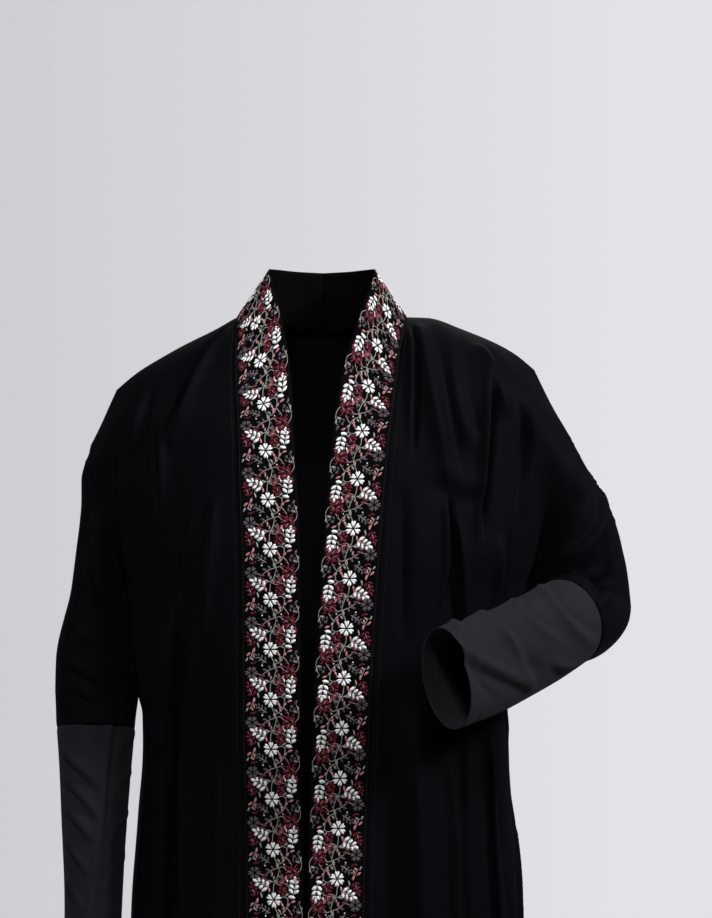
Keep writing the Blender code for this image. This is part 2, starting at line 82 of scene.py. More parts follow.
room = bpy.data.worlds.new("room")
room.use_nodes = True
SCENE.world = room
room_nodes = room.node_tree.nodes
# The backdrop that the camera sees is painted lighter towards +X, a painted fall of light from the right;
# every other ray sees a dim grey room.
direction = room_nodes.new("ShaderNodeSeparateXYZ")
room.node_tree.links.new(room_nodes.new("ShaderNodeTexCoord").outputs["Generated"], direction.inputs[0])
brighten = room_nodes.new("ShaderNodeMapRange")
brighten.inputs["From Min"].default_value = -0.14
brighten.inputs["From Max"].default_value = 0.11
room.node_tree.links.new(direction.outputs["X"], brighten.inputs["Value"])
backdrop_painted_light = room_nodes.new("ShaderNodeMix")
backdrop_painted_light.data_type = "RGBA"
backdrop_painted_light.inputs["A"].default_value = (0.61, 0.615, 0.65, 1)
backdrop_painted_light.inputs["B"].default_value = (0.775, 0.765, 0.795, 1)
room.node_tree.links.new(brighten.outputs[0], backdrop_painted_light.inputs["Factor"])
seen = room_nodes.new("ShaderNodeLightPath")
room_light = room_nodes.new("ShaderNodeMix")
room_light.data_type = "RGBA"
room_light.inputs["A"].default_value = (0.070, 0.070, 0.080, 1)
room.node_tree.links.new(seen.outputs["Is Camera Ray"], room_light.inputs["Factor"])
room.node_tree.links.new(backdrop_painted_light.outputs["Result"], room_light.inputs["B"])
room.node_tree.links.new(room_light.outputs["Result"], room_nodes["Background"].inputs["Color"])

floor_mesh = bpy.data.meshes.new("floor")
floor_corners = [(x * FLOOR_HALF, y * FLOOR_HALF, FLOOR_Z) for x, y in ((-1, -1), (1, -1), (1, 1), (-1, 1))]
floor_mesh.from_pydata(floor_corners, [], [(0, 1, 2, 3)])
floor = bpy.data.objects.new("floor", floor_mesh)
SCENE.collection.objects.link(floor)
floor_paint = bpy.data.materials.new("floor_paint")
floor_paint.use_nodes = True
floor_paint.node_tree.nodes["Principled BSDF"].inputs["Base Color"].default_value = (0.72, 0.72, 0.74, 1)
floor_paint.node_tree.nodes["Principled BSDF"].inputs["Roughness"].default_value = 0.7
floor_mesh.materials.append(floor_paint)


# ================================================================ the cut and the back panel
# One piece of black crepe with both sleeves' back halves cut in one with it. It hangs from the
# shoulders in soft folds, which the tables below lay on it. Crepe has a fine, dry, pebbled grain of
# twisted yarn, and only its ridges catch a little sheen.
LENGTH = 1.42            # high shoulder point to hem
WALL = 0.0009            # thickness of the crepe and the jersey
NECK_HALF_WIDTH = 0.084
NECK_DEPTH = 0.072
NECK_SCOOP = 0.008
SHOULDER_FADE = 0.30     # drop by which the sections have become level
TRUNK_POWER = 2.4        # squareness of the trunk's sections
SHOULDER_ARCH = 0.16     # drop over which cloth rounds the shoulder, beside the neck
ARM_ARCH = 0.05          # the same, over the arm
RIGHT, LEFT = -1, 1      # the wearer's sides, as the sign of X
FRONT, BACK = -1, 1      # the faces of the cloak, as the sign of Y
SPLIT_DROP = {RIGHT: 0.372, LEFT: 0.29}


def table(names, rows):
    """Rows of numbers as a dict of named columns."""
    return dict(zip(names.split(), np.array(rows, float).T))


TRUNK = table("drop front back wrap", [
    (0.00, 0.105, 0.100, 50), (0.08, 0.117, 0.112, 56), (0.16, 0.131, 0.120, 68),
    (0.25, 0.141, 0.121, 78), (0.34, 0.141, 0.118, 82), (0.43, 0.139, 0.120, 88),
    (0.58, 0.145, 0.128, 90), (0.80, 0.158, 0.145, 90), (1.07, 0.176, 0.168, 90),
    (1.42, 0.200, 0.196, 90),
])
SIDES = {
    RIGHT: table("drop out front back", [
        (0.000, 0.1650, -0.075, 0.070), (0.020, 0.1800, -0.075, 0.070), (0.045, 0.2000, -0.072, 0.070),
        (0.080, 0.2135, -0.060, 0.065), (0.120, 0.2145, -0.048, 0.060), (0.160, 0.2090, -0.040, 0.055),
        (0.200, 0.2030, -0.033, 0.047), (0.270, 0.1915, -0.024, 0.032), (0.340, 0.1850, -0.018, 0.010),
        (0.372, 0.1830, -0.012, -0.012), (0.395, 0.1780, -0.008, -0.008), (0.430, 0.1790, 0.014, 0.014),
        (0.500, 0.1855, 0.030, 0.030), (0.600, 0.1900, 0.022, 0.022), (0.800, 0.2020, 0.006, 0.006),
        (1.070, 0.2210, 0.000, 0.000), (1.420, 0.2480, 0.000, 0.000),
    ]),
    LEFT: table("drop out front back", [
        (0.000, 0.1650, -0.075, 0.070), (0.020, 0.1800, -0.075, 0.070), (0.045, 0.1980, -0.072, 0.070),
        (0.080, 0.2130, -0.062, 0.065), (0.120, 0.2186, -0.052, 0.060), (0.160, 0.2186, -0.044, 0.050),
        (0.200, 0.2170, -0.034, 0.035), (0.235, 0.2120, -0.024, 0.018), (0.265, 0.2060, -0.012, 0.003),
        (0.290, 0.2030, -0.004, -0.004), (0.330, 0.1970, 0.006, 0.006), (0.372, 0.1870, 0.006, 0.006),
        (0.400, 0.1840, 0.004, 0.004), (0.450, 0.1860, 0.000, 0.000), (0.600, 0.2000, 0.000, 0.000),
        (0.800, 0.2150, 0.000, 0.000), (1.070, 0.2370, 0.000, 0.000), (1.420, 0.2660, 0.000, 0.000),
    ]),
}
ARMS = {
    RIGHT: table("drop out y front back round tilt", [
        (0.000, 0.2050, 0.000, 0.010, 0.020, 0.0, 0), (0.020, 0.2175, 0.000, 0.010, 0.020, 0.0, 0),
        (0.045, 0.2315, 0.000, 0.011, 0.021, 0.0, 0), (0.080, 0.2390, 0.000, 0.015, 0.025, 0.0, 0),
        (0.120, 0.2385, 0.000, 0.021, 0.030, 0.0, 0), (0.160, 0.2400, 0.000, 0.029, 0.035, 0.0, 0),
        (0.200, 0.2430, 0.000, 0.036, 0.040, 0.0, 0), (0.270, 0.2500, -0.003, 0.044, 0.045, 0.15, 0),
        (0.340, 0.2635, -0.008, 0.049, 0.050, 0.65, 0), (0.372, 0.2635, -0.012, 0.050, 0.050, 1.0, 0),
    ]),
    LEFT: table("drop out y front back round tilt", [
        (0.000, 0.2120, 0.000, 0.010, 0.020, 0.0, 0), (0.020, 0.2270, 0.000, 0.010, 0.020, 0.0, 0),
        (0.045, 0.2480, 0.000, 0.014, 0.024, 0.0, 0), (0.080, 0.2720, 0.000, 0.022, 0.034, 0.0, 0),
        (0.120, 0.2890, 0.003, 0.031, 0.041, 0.0, 0), (0.160, 0.2960, 0.006, 0.038, 0.046, 0.05, 0),
        (0.200, 0.3005, 0.009, 0.043, 0.050, 0.30, 0.004), (0.235, 0.3045, 0.010, 0.047, 0.051, 0.60, 0.010),
        (0.265, 0.3070, 0.008, 0.048, 0.050, 0.85, 0.015), (0.290, 0.3085, 0.004, 0.048, 0.048, 1.0, 0.020),
    ]),
}
RIDGES = {
    RIGHT: table("out z", [(0.084, 0.0), (0.105, -0.012), (0.145, -0.032), (0.178, -0.052),
                           (0.205, -0.072), (0.3, -0.15)]),
    LEFT: table("out z", [(0.084, 0.0), (0.105, -0.001), (0.137, -0.011), (0.185, -0.032),
                          (0.212, -0.052), (0.3, -0.13)]),
}
# The ring where the black sleeve ends, on each arm.
ARM_END = {
    RIGHT: dict(centre=(-0.2237, -0.022, -0.407), along=(0.0, -0.156, -1.0), across=0.0380, deep=0.050,
                seam=118),
    LEFT: dict(centre=(0.2400, -0.060, -0.300), along=(-0.620, -0.755, -0.210), across=0.0410, deep=0.042,
               seam=200),
}
# The largest folds of each face: X and drop where each starts, X at the hem, depth at the hip and at
# the hem, and half width at both.
FOLD_COLUMNS = "x start x_hem hip hem wide wide_hem"
HIP_DROP = 0.55
FOLDS = {
    (RIGHT, BACK): table(FOLD_COLUMNS, [
        (-0.038, 0.24, -0.052, 0.011, 0.026, 0.013, 0.021),
        (-0.092, 0.16, -0.124, 0.013, 0.030, 0.012, 0.021),
        (-0.146, 0.24, -0.193, 0.011, 0.024, 0.011, 0.019),
    ]),
    (LEFT, BACK): table(FOLD_COLUMNS, [
        (0.016, 0.34, 0.020, 0.009, 0.024, 0.012, 0.020),
        (0.066, 0.16, 0.086, 0.014, 0.030, 0.013, 0.021),
        (0.118, 0.22, 0.152, 0.012, 0.027, 0.011, 0.020),
        (0.160, 0.34, 0.214, 0.010, 0.022, 0.010, 0.018),
    ]),
}


def section_drops():
    """Even steps of a quarter circle over the shoulder, 5 mm steps to the hip, then 9 mm to the hem."""
    turn = np.linspace(0, np.pi / 2, 37)
    drops = np.concatenate([SHOULDER_ARCH * (1 - np.cos(turn)), np.arange(0.165, 0.622, 0.005),
                            np.linspace(0.629, LENGTH, 88)])
    for split in SPLIT_DROP.values():
        drops[np.abs(drops - split).argmin()] = split
    return drops


DROPS = section_drops()


def strips(count):
    """Shares across a panel: even, with narrow strips beside both sewn edges."""
    edge = np.array([0.004, 0.010, 0.020])
    return np.concatenate([[0], edge, np.linspace(0.034, 0.966, count), 1 - edge[::-1], [1]])


def ease(t):
    """0 up to t = 0, 1 from t = 1, and a smooth step between."""
    t = np.clip(t, 0, 1)
    return t * t * (3 - 2 * t)


def read(tab, name, at, key="drop"):
    """A column of a table between its rows: a cubic through them that doesn't overshoot."""
    x, y = tab[key], tab[name]
    step = np.diff(x)
    rise = np.diff(y) / step
    slope = np.concatenate([rise[:1], np.zeros(len(x) - 2), rise[-1:]])
    both = np.where(rise[:-1] * rise[1:] > 0, rise[:-1] + rise[1:], np.inf)
    slope[1:-1] = 2 * rise[:-1] * rise[1:] / both
    at = np.clip(at, x[0], x[-1])
    i = np.clip(np.searchsorted(x, at) - 1, 0, len(step) - 1)
    t = (at - x[i]) / step[i]
    cubic = (1 + 2 * t) * (1 - t) ** 2 * y[i] + t * t * (3 - 2 * t) * y[i + 1]
    return cubic + step[i] * t * (1 - t) * ((1 - t) * slope[i] - t * slope[i + 1])


def unit(v):
    v = np.asarray(v, float)
    return v / np.maximum(np.linalg.norm(v, axis=-1, keepdims=True), 1e-12)


def signed_power(v, power):
    return np.sign(v) * np.abs(v) ** power


def trunk_reach(side, drop):
    """(half width of the whole superellipse, its angle at the trough) of a trunk section."""
    wrap = np.radians(read(TRUNK, "wrap", drop))
    return read(SIDES[side], "out", drop) / np.sin(wrap) ** (2 / TRUNK_POWER), wrap


def angle_at(side, drop, x):
    """The section's angle where it passes x: 0 at the centre line, growing towards the trough."""
    reach, _ = trunk_reach(side, drop)
    return np.arcsin(signed_power(side * x / reach, TRUNK_POWER / 2))


def hung(side, face, x, y_full, drop):
    """Points of a section: the ridge at no drop, rounding over the shoulder to the full section."""
    share = np.clip(np.abs(x) / NECK_HALF_WIDTH, 0, 1)
    z_rest = read(RIDGES[side], "z", np.abs(x), "out")
    y_rest = 0 * x
    if face == BACK:
        y_rest = NECK_DEPTH * np.sqrt(1 - share**2)
        z_rest = z_rest - NECK_SCOOP * (1 - share**2)
    outwards = ease(np.abs(x) / read(ARMS[side], "out", drop))
    arch = SHOULDER_ARCH + (ARM_ARCH - SHOULDER_ARCH) * outwards
    rounding = np.sqrt(1 - (1 - np.clip(drop / arch, 0, 1)) ** 2)
    level = 1 - ease(drop / SHOULDER_FADE)
    return np.stack([x, y_rest + (y_full - y_rest) * rounding, z_rest * level - drop], axis=-1)


def fold_depth(side, face, x, drop):
    """How far the folds push the cloth in at each point: a soft trough along each fold's line."""
    depth = 0 * x
    for start_x, start, x_hem, hip, hem, wide, wide_hem in zip(*FOLDS[side, face].values()):
        down = np.clip((drop - start) / (LENGTH - start), 0, 1)
        lower = np.clip((drop - HIP_DROP) / (LENGTH - HIP_DROP), 0, 1)
        away = (x - start_x - (x_hem - start_x) * down) / (wide + (wide_hem - wide) * lower)
        depth = depth + (hip + (hem - hip) * lower) * ease((drop - start) / 0.18) * np.exp(-away**2)
    return depth


def trunk(side, face, angle, drop):
    """Points of the trunk at these section angles and drops, with the folds pressed in."""
    reach, wrap = trunk_reach(side, drop)
    power = 2 / TRUNK_POWER
    name = "front" if face == FRONT else "back"
    centre = face * read(TRUNK, name, drop)
    trough = read(SIDES[side], name, drop)
    at_trough = np.abs(np.cos(wrap)) ** power
    far = (trough - centre * at_trough) / (1 - at_trough)
    x = side * reach * signed_power(np.sin(angle), power)
    y = far + (centre - far) * np.abs(np.cos(angle)) ** power
    y = y - face * fold_depth(side, face, x, drop) * ease((wrap - angle) / math.radians(12))
    return hung(side, face, x, y, drop)


def over_arm(side, face, way, drop):
    """Points over the arm above the split, from the trough (way 0) to the outer seam (way 1)."""
    tab = ARMS[side]
    name = "front" if face == FRONT else "back"
    trough = [side * read(SIDES[side], "out", drop), read(SIDES[side], name, drop)]
    outer = [side * read(tab, "out", drop), read(tab, "y", drop)]
    roundness = read(tab, "round", drop)
    share = (1 - roundness) * np.sin(np.pi / 2 * way) + roundness * (1 - np.cos(np.pi * way)) / 2
    x = trough[0] + (outer[0] - trough[0]) * share
    y = trough[1] + (outer[1] - trough[1]) * share + face * read(tab, name, drop) * np.sin(np.pi * way)
    points = hung(side, face, x, y, drop)
    points[..., 2] -= face * read(tab, "tilt", drop) * np.sin(np.pi * way)
    return points


def ring_frame(side, along):
    """(towards the arm's outer side, towards its front) for a ring across this direction."""
    along = unit(along)
    outer = unit(np.cross(along, (0, 0, 1.0)) * -side + np.array([side * 1e-3, 0, 0]))
    return outer, unit(np.cross(outer, along)) * -side


def ring_points(centre, outer, front, across, deep, degrees):
    """Points round an ellipse; 0 degrees is its outer side and 90 its front."""
    turn = np.radians(degrees)[..., None]
    return centre + across * np.cos(turn) * outer + deep * np.sin(turn) * front


def split_ring(side):
    """The closed ring that both faces of the sleeve reach at the split."""
    drop, arm, trunk_side = SPLIT_DROP[side], ARMS[side], SIDES[side]
    trough = np.array([side * read(trunk_side, "out", drop), read(trunk_side, "front", drop), -drop])
    outer = np.array([side * read(arm, "out", drop), read(arm, "y", drop), -drop])
    front = np.array([0, -read(arm, "front", drop), read(arm, "tilt", drop)])
    along = np.cross(outer - trough, front) * side
    return dict(centre=(trough + outer) / 2, outer=unit(outer - trough), front=unit(front), seam=180,
                along=unit(along), across=np.linalg.norm(outer - trough) / 2, deep=np.linalg.norm(front))


def arm_ring(side, way):
    """The sleeve's ring between the split (way 0) and the seam with the lower sleeve (way 1)."""
    top, end = split_ring(side), ARM_END[side]
    outer, front = ring_frame(side, end["along"])
    centre = np.array(end["centre"])
    reach = np.linalg.norm(centre - top["centre"])
    cubic = (2 * way**3 - 3 * way**2 + 1) * top["centre"] + (3 * way**2 - 2 * way**3) * centre
    cubic = cubic + (way**3 - 2 * way**2 + way) * reach * top["along"]
    cubic = cubic + (way**3 - way**2) * reach * unit(end["along"])
    blend = {name: top[name] + (end[name] - top[name]) * way for name in ("across", "deep")}
    blend["seam"] = top["seam"] + (end["seam"] - top["seam"]) * way**3
    return dict(centre=cubic, outer=unit(top["outer"] * (1 - way) + outer * way),
                front=unit(top["front"] * (1 - way) + front * way), **blend)


def arm_row(side, face, way, share):
    """One row of a panel round the sleeve below the split, from the underarm seam to the outer."""
    ring = arm_ring(side, way)
    if face == FRONT:
        degrees = ring["seam"] * (1 - share)
    else:
        degrees = ring["seam"] + (360 - ring["seam"]) * share
    return ring_points(ring["centre"], ring["outer"], ring["front"], ring["across"], ring["deep"], degrees)


BORDER_EDGES = {
    RIGHT: table("drop seam free", [
        (0.000, -0.0840, -0.0400), (0.045, -0.0843, -0.0335), (0.080, -0.0827, -0.0285),
        (0.125, -0.0800, -0.0250), (0.190, -0.0779, -0.0205), (0.240, -0.0757, -0.0185),
        (0.380, -0.0750, -0.0185), (0.600, -0.0715, -0.0150), (1.000, -0.0750, -0.0180),
        (1.420, -0.0850, -0.0270),
    ]),
    LEFT: table("drop seam free", [
        (0.000, 0.0840, 0.0400), (0.015, 0.0820, 0.0365), (0.045, 0.0765, 0.0270),
        (0.080, 0.0725, 0.0170), (0.125, 0.0670, 0.0105), (0.190, 0.0610, 0.0040),
        (0.290, 0.0540, -0.0030), (0.380, 0.0492, -0.0070), (0.600, 0.0430, -0.0125),
        (1.000, 0.0450, -0.0110), (1.420, 0.0530, -0.0030),
    ]),
}


def trunk_grid(side, face, share):
    """A panel's trunk, from its border seam or the centre back to the trough or the side seam."""
    _, wrap = trunk_reach(side, DROPS)
    start = 0 * wrap
    if face == FRONT:
        start = angle_at(side, DROPS, read(BORDER_EDGES[side], "seam", DROPS))
    angle = start[:, None] + (wrap - start)[:, None] * share
    return trunk(side, face, angle, DROPS[:, None])


def arm_grid(side, face, share, rows_below):
    """A panel's sleeve, from the trough or the underarm seam to the outer seam."""
    above = over_arm(side, face, share, DROPS[DROPS <= SPLIT_DROP[side] + 1e-9][:, None])
    ways = np.linspace(0, 1, rows_below + 1)[1:]
    return np.concatenate([above, [arm_row(side, face, way, share) for way in ways]])


def normals_of(grid, outward):
    """Unit normals of a grid: the cross product of its two directions, with the given sign."""
    return unit(np.cross(np.gradient(grid, axis=1), np.gradient(grid, axis=0))) * outward


CREASE_COLUMNS = "x0 z0 x1 z1 x2 z2 wide high lee"
PATH_STEPS = 60          # steps along a crease's path
BELL_POWER = 1.35        # 2 is a round bell, and 1 a sharp crest
CREASE_FADE = 0.010      # width beside a sewn edge over which creases fade in
SEAM_PULL = 0.0006       # how far a sewn edge is drawn in
SEAM_PULL_WIDE = 0.002   # and over what width
NOT_SEWN = 1.0           # the distance given to an edge that isn't sewn
DRAPE_WIDE = 0.026       # width each side of the trough over which draped cloth is smoothed
DRAPE_PASSES = 70


def crease_height(points, normals, face, x0, z0, x1, z1, x2, z2, wide, high, lee):
    """A crease laid on cloth: a soft ridge (or a trough, if high is negative) along a parabola through
    three points of X and Z, fading at both ends. Its height is a bell over the distance from the
    path, less a second bell, lee times as deep, on its +X side (its -X side if lee is negative)."""
    t = np.linspace(0, 1, PATH_STEPS + 1)[:, None]
    ends = np.array([[x0, z0], [x1, z1], [x2, z2]])
    flat = ends[0] * (1 - t) * (1 - 2 * t) + ends[1] * 4 * t * (1 - t) + ends[2] * t * (2 * t - 1)
    facing = np.flatnonzero(normals[:, 1] * face > -0.25)
    near = facing[((points[facing][:, None, [0, 2]] - flat[::4]) ** 2).sum(axis=-1).argmin(axis=0)]
    depth = np.interp(t[:, 0], t[::4, 0], np.convolve(np.pad(points[near, 1], 1, "edge"), [0.25, 0.5, 0.25],
                                                      "valid"))
    path = np.stack([flat[:, 0], depth, flat[:, 1]], axis=-1)
    low, high_corner = path.min(axis=0) - 4 * wide, path.max(axis=0) + 4 * wide
    close = np.flatnonzero(((points > low) & (points < high_corner)).all(axis=1))
    away = points[close][:, None] - path
    nearest = (away**2).sum(axis=-1).argmin(axis=1)
    offset = away[np.arange(len(close)), nearest]
    stride = np.gradient(path, axis=0)[nearest]
    tangent = unit(stride)
    beyond = (offset * tangent).sum(axis=-1)
    distance = np.linalg.norm(offset - tangent * beyond[:, None], axis=-1)
    sign = -face * np.sign((np.cross(tangent, offset) * normals[close]).sum(axis=-1))
    way = np.clip((nearest + beyond / np.linalg.norm(stride, axis=-1)) / PATH_STEPS, 0, 1)
    taper = np.sin(np.pi * way) ** 0.7
    bell = np.exp(-np.abs(distance / wide) ** BELL_POWER)
    shadow = abs(lee) * np.exp(-((distance * sign * np.sign(lee) / wide - 1.7) / 0.9) ** 2)
    height = np.zeros(len(points))
    height[close] = high * taper * (bell - shadow)
    return height


def wander(points):
    """The cloth's slight unevenness: four slow waves that cross one another, under a millimetre."""
    x, y, z = points.T
    waves = np.sin(61 * x + 23 * z + 1.1) + np.sin(37 * x - 48 * z + 17 * y)
    waves += 0.7 * np.sin(101 * x + 9 * z - 40 * y + 2.0) + 0.6 * np.sin(29 * z + 83 * y + 0.4)
    return 0.00045 * waves


def draped_over(body, arm, split):
    """Smooths the cloth across the trough high on the shoulder, where it hasn't parted from the arm:
    each point moves towards the mean of its neighbours, less and less away from the trough."""
    both = np.concatenate([body[:split], arm[:split, 1:]], axis=1)
    trough = both[:, [body.shape[1] - 1]].copy()
    near = np.exp(-(np.linalg.norm(both - trough, axis=-1) / DRAPE_WIDE) ** 2)
    outer = np.linalg.norm(both - both[:, -1:], axis=-1)
    share = near * ease(outer / 0.030 - 0.2) * ease((0.24 - DROPS[:split]) / 0.12)[:, None]
    for _ in range(DRAPE_PASSES):
        pull = (both[:, :-2] + both[:, 2:]) / 2 - both[:, 1:-1]
        both[1:, 1:-1] += pull[1:] * share[1:, 1:-1, None] * 0.9
    body[:split], arm[:split] = both[:, :body.shape[1]], both[:, body.shape[1] - 1:]


def creased(grids, side, face, creases, split):
    """The panel's grids with its creases raised and its sewn edges drawn in. The trough above the
    split and the centre back aren't sewn."""
    outward = side * face
    normals = [normals_of(grid, outward) for grid in grids]
    shared = unit(normals[0][:split, -1] + normals[1][:split, 0])
    normals[0][:split, -1] = normals[1][:split, 0] = shared
    points = np.concatenate([grid.reshape(-1, 3) for grid in grids])
    facing = np.concatenate([normal.reshape(-1, 3) for normal in normals])
    height = wander(points)
    for row in zip(*creases.values()):
        height = height + crease_height(points, facing, face, *row)
    made, start = [], 0
    for grid, normal, is_arm in zip(grids, normals, (False, True)):
        own = height[start:start + grid[..., 0].size].reshape(grid.shape[:2])
        start += grid[..., 0].size
        across = np.linalg.norm(np.diff(grid, axis=1), axis=-1).cumsum(axis=1)
        down = np.linalg.norm(np.diff(grid, axis=0), axis=-1).cumsum(axis=0)
        inner = np.pad(across, ((0, 0), (1, 0)))
        outer = inner[:, -1:] - inner
        top = np.pad(down, ((1, 0), (0, 0)))
        if is_arm:
            inner[:split - 1] = NOT_SEWN
            outer[:2] = NOT_SEWN
            end = top[-1:] - top
        else:
            outer[:split - 1] = NOT_SEWN
            end = NOT_SEWN + 0 * top
            if face == BACK:
                inner[:] = NOT_SEWN
        nearest = np.minimum(np.minimum(inner, outer), np.minimum(top, end))
        drawn_in = SEAM_PULL * np.exp(-(nearest / SEAM_PULL_WIDE) ** 2)
        made.append(grid + normal * (own * ease(nearest / CREASE_FADE) - drawn_in)[..., None])
    return made


def cloth(name, grids, wall, material):
    """Grids of points as one mesh, points that meet made one; Solidify lays the wall on outside.
    Each grid comes with whether its rows and columns turn its faces outwards as they are."""
    numbers, corners, total = [], [], 0
    points = np.concatenate([grid.reshape(-1, 3) for grid, _ in grids])
    _, first, number = np.unique(np.round(points / 2e-6).astype(np.int64), axis=0, return_index=True,
                                 return_inverse=True)
    number = number.reshape(-1)
    for grid, turned in grids:
        own = number[total:total + grid[..., 0].size].reshape(grid.shape[:2])
        total += grid[..., 0].size
        quads = np.stack([own[:-1, :-1], own[1:, :-1], own[1:, 1:], own[:-1, 1:]], axis=-1).reshape(-1, 4)
        corners.append(quads if turned else quads[:, ::-1])
    corners = np.concatenate(corners)
    mesh = bpy.data.meshes.new(name)
    mesh.from_pydata(points[first].tolist(), [], corners.tolist())
    mesh.validate()
    mesh.shade_smooth()
    mesh.materials.append(material)
    sheet = bpy.data.objects.new(name, mesh)
    SCENE.collection.objects.link(sheet)
    solidify = sheet.modifiers.new("wall", "SOLIDIFY")
    solidify.thickness = wall
    solidify.offset = 1
    return sheet


class Wire:
    """A socket of a material's node tree. Python's operators on it add Math nodes."""

    def __init__(self, tree, socket=None):
        self.tree = tree
        self.socket = socket

    def node(self, kind, settings=(), values=(), out=0):
        """A node of this type, its settings first, then its sockets' values or links; one output."""
        made = self.tree.nodes.new(kind)
        for name, value in dict(settings).items():
            setattr(made, name, value)
        for name, value in dict(values).items():
            if isinstance(value, Wire):
                self.tree.links.new(value.socket, made.inputs[name])
            else:
                made.inputs[name].default_value = value
        return Wire(self.tree, made.outputs[out])

    def maths(self, operation, first, second):
        return self.node("ShaderNodeMath", {"operation": operation}, {0: first, 1: second})

    def __add__(self, other):
        return self.maths("ADD", self, other)

    def __mul__(self, other):
        return self.maths("MULTIPLY", self, other)

    __radd__ = __add__
    __rmul__ = __mul__

    def blend(self, dark, light):
        """A colour between two, by this factor."""
        return self.node("ShaderNodeMix", {"data_type": "RGBA"},
                         {"Factor": self, "A": (*dark, 1), "B": (*light, 1)}, "Result")


def finish(name, **constants):
    """A new material: (itself, its node tree as a Wire, its Principled shader)."""
    made = bpy.data.materials.new(name)
    made.use_nodes = True
    shader = made.node_tree.nodes["Principled BSDF"]
    for socket, value in constants.items():
        shader.inputs[socket.replace("_", " ")].default_value = value
    return made, Wire(made.node_tree), shader


def plug(wire, shader, socket):
    wire.tree.links.new(wire.socket, shader.inputs[socket])


def woven(name, dark, light, grain_mm, depth_mm, roughness, **constants):
    """A cloth: its colour drifts between two over a hand's width, and a fine grain is its bump."""
    made, tree, shader = finish(name, **constants)
    place = tree.node("ShaderNodeTexCoord", out="Object")
    drift = tree.node("ShaderNodeTexNoise", {}, {"Vector": place, "Scale": 11.0, "Detail": 3.0})
    pebble = tree.node("ShaderNodeTexNoise", {},
                       {"Vector": place, "Scale": 1000 / grain_mm, "Detail": 2.0, "Roughness": 0.6})
    plug((drift * 0.75 + pebble * 0.25).blend(dark, light), shader, "Base Color")
    plug(pebble * 0.12 + (roughness - 0.06), shader, "Roughness")
    bump = tree.node("ShaderNodeBump", {}, {"Strength": 0.6, "Distance": depth_mm / 1000, "Height": pebble})
    plug(bump, shader, "Normal")
    return made


crepe = woven("black_crepe", (0.0015, 0.0014, 0.0024), (0.0031, 0.0029, 0.0044), 0.9, 0.10, 0.70,
              Specular_IOR_Level=0.026, Sheen_Weight=0.006, Sheen_Roughness=0.4,
              Sheen_Tint=(0.85, 0.85, 1.0, 1.0))


# Creases of the back: they fan from the shoulder blades and hang between the folds.
BACK_CREASES = {
    RIGHT: table(CREASE_COLUMNS, [
        (-0.100, -0.030, -0.128, -0.095, -0.150, -0.190, 0.006, 0.0047, -0.5),
        (-0.148, -0.060, -0.158, -0.115, -0.156, -0.200, 0.005, 0.0041, 0.5),
        (-0.050, -0.055, -0.074, -0.140, -0.080, -0.260, 0.008, 0.0041, 0.3),
        (-0.180, -0.090, -0.188, -0.150, -0.178, -0.240, 0.006, 0.0047, -0.4),
        (-0.070, -0.280, -0.066, -0.420, -0.078, -0.640, 0.007, 0.0061, 0.4),
        (-0.118, -0.260, -0.124, -0.430, -0.132, -0.700, 0.006, 0.0068, -0.4),
        (-0.020, -0.300, -0.016, -0.520, -0.020, -0.900, 0.008, 0.0054, 0.3),
        (-0.105, -0.700, -0.098, -1.000, -0.106, -1.405, 0.010, 0.0081, 0.3),
        (-0.165, -0.440, -0.172, -0.800, -0.190, -1.380, 0.009, 0.0081, -0.3),
        (-0.075, -0.830, -0.070, -1.120, -0.078, -1.410, 0.008, 0.0068, -0.5),
        (-0.150, -0.960, -0.158, -1.180, -0.168, -1.410, 0.009, 0.0074, 0.4),
        (-0.238, -0.130, -0.228, -0.170, -0.214, -0.215, 0.005, 0.0034, 0.4),
        (-0.250, -0.250, -0.234, -0.275, -0.212, -0.290, 0.005, 0.0041, 0.4),
        (-0.252, -0.320, -0.236, -0.338, -0.218, -0.345, 0.004, 0.0034, 0.4),
        (-0.240, -0.362, -0.226, -0.374, -0.210, -0.378, 0.004, 0.0034, 0.4),
    ]),
    LEFT: table(CREASE_COLUMNS, [
        (0.096, -0.018, 0.122, -0.080, 0.148, -0.180, 0.006, 0.0047, 0.5),
        (0.140, -0.035, 0.160, -0.105, 0.170, -0.210, 0.006, 0.0047, -0.4),
        (0.036, -0.060, 0.052, -0.160, 0.050, -0.300, 0.008, 0.0041, -0.3),
        (0.185, -0.070, 0.196, -0.120, 0.192, -0.190, 0.006, 0.0047, 0.4),
        (0.088, -0.240, 0.094, -0.400, 0.102, -0.660, 0.007, 0.0068, 0.4),
        (0.040, -0.360, 0.044, -0.600, 0.050, -1.000, 0.008, 0.0061, -0.3),
        (0.140, -0.330, 0.150, -0.600, 0.166, -0.980, 0.007, 0.0068, -0.4),
        (0.112, -0.800, 0.118, -1.080, 0.120, -1.405, 0.010, 0.0081, 0.3),
        (0.182, -0.500, 0.196, -0.900, 0.214, -1.400, 0.009, 0.0074, -0.3),
        (0.050, -1.050, 0.054, -1.240, 0.052, -1.410, 0.008, 0.0068, 0.5),
        (0.172, -1.020, 0.180, -1.200, 0.186, -1.410, 0.008, 0.0068, -0.4),
        (0.250, -0.110, 0.258, -0.160, 0.240, -0.215, 0.006, 0.0047, -0.4),
        (0.290, -0.190, 0.285, -0.235, 0.255, -0.262, 0.006, 0.0047, -0.4),
        (0.270, -0.225, 0.255, -0.262, 0.225, -0.272, 0.006, 0.0047, -0.4),
    ]),
}
ARM_STRIPS = strips(38)
BACK_STRIPS = strips(68)
ARM_ROWS = {RIGHT: 9, LEFT: 20}


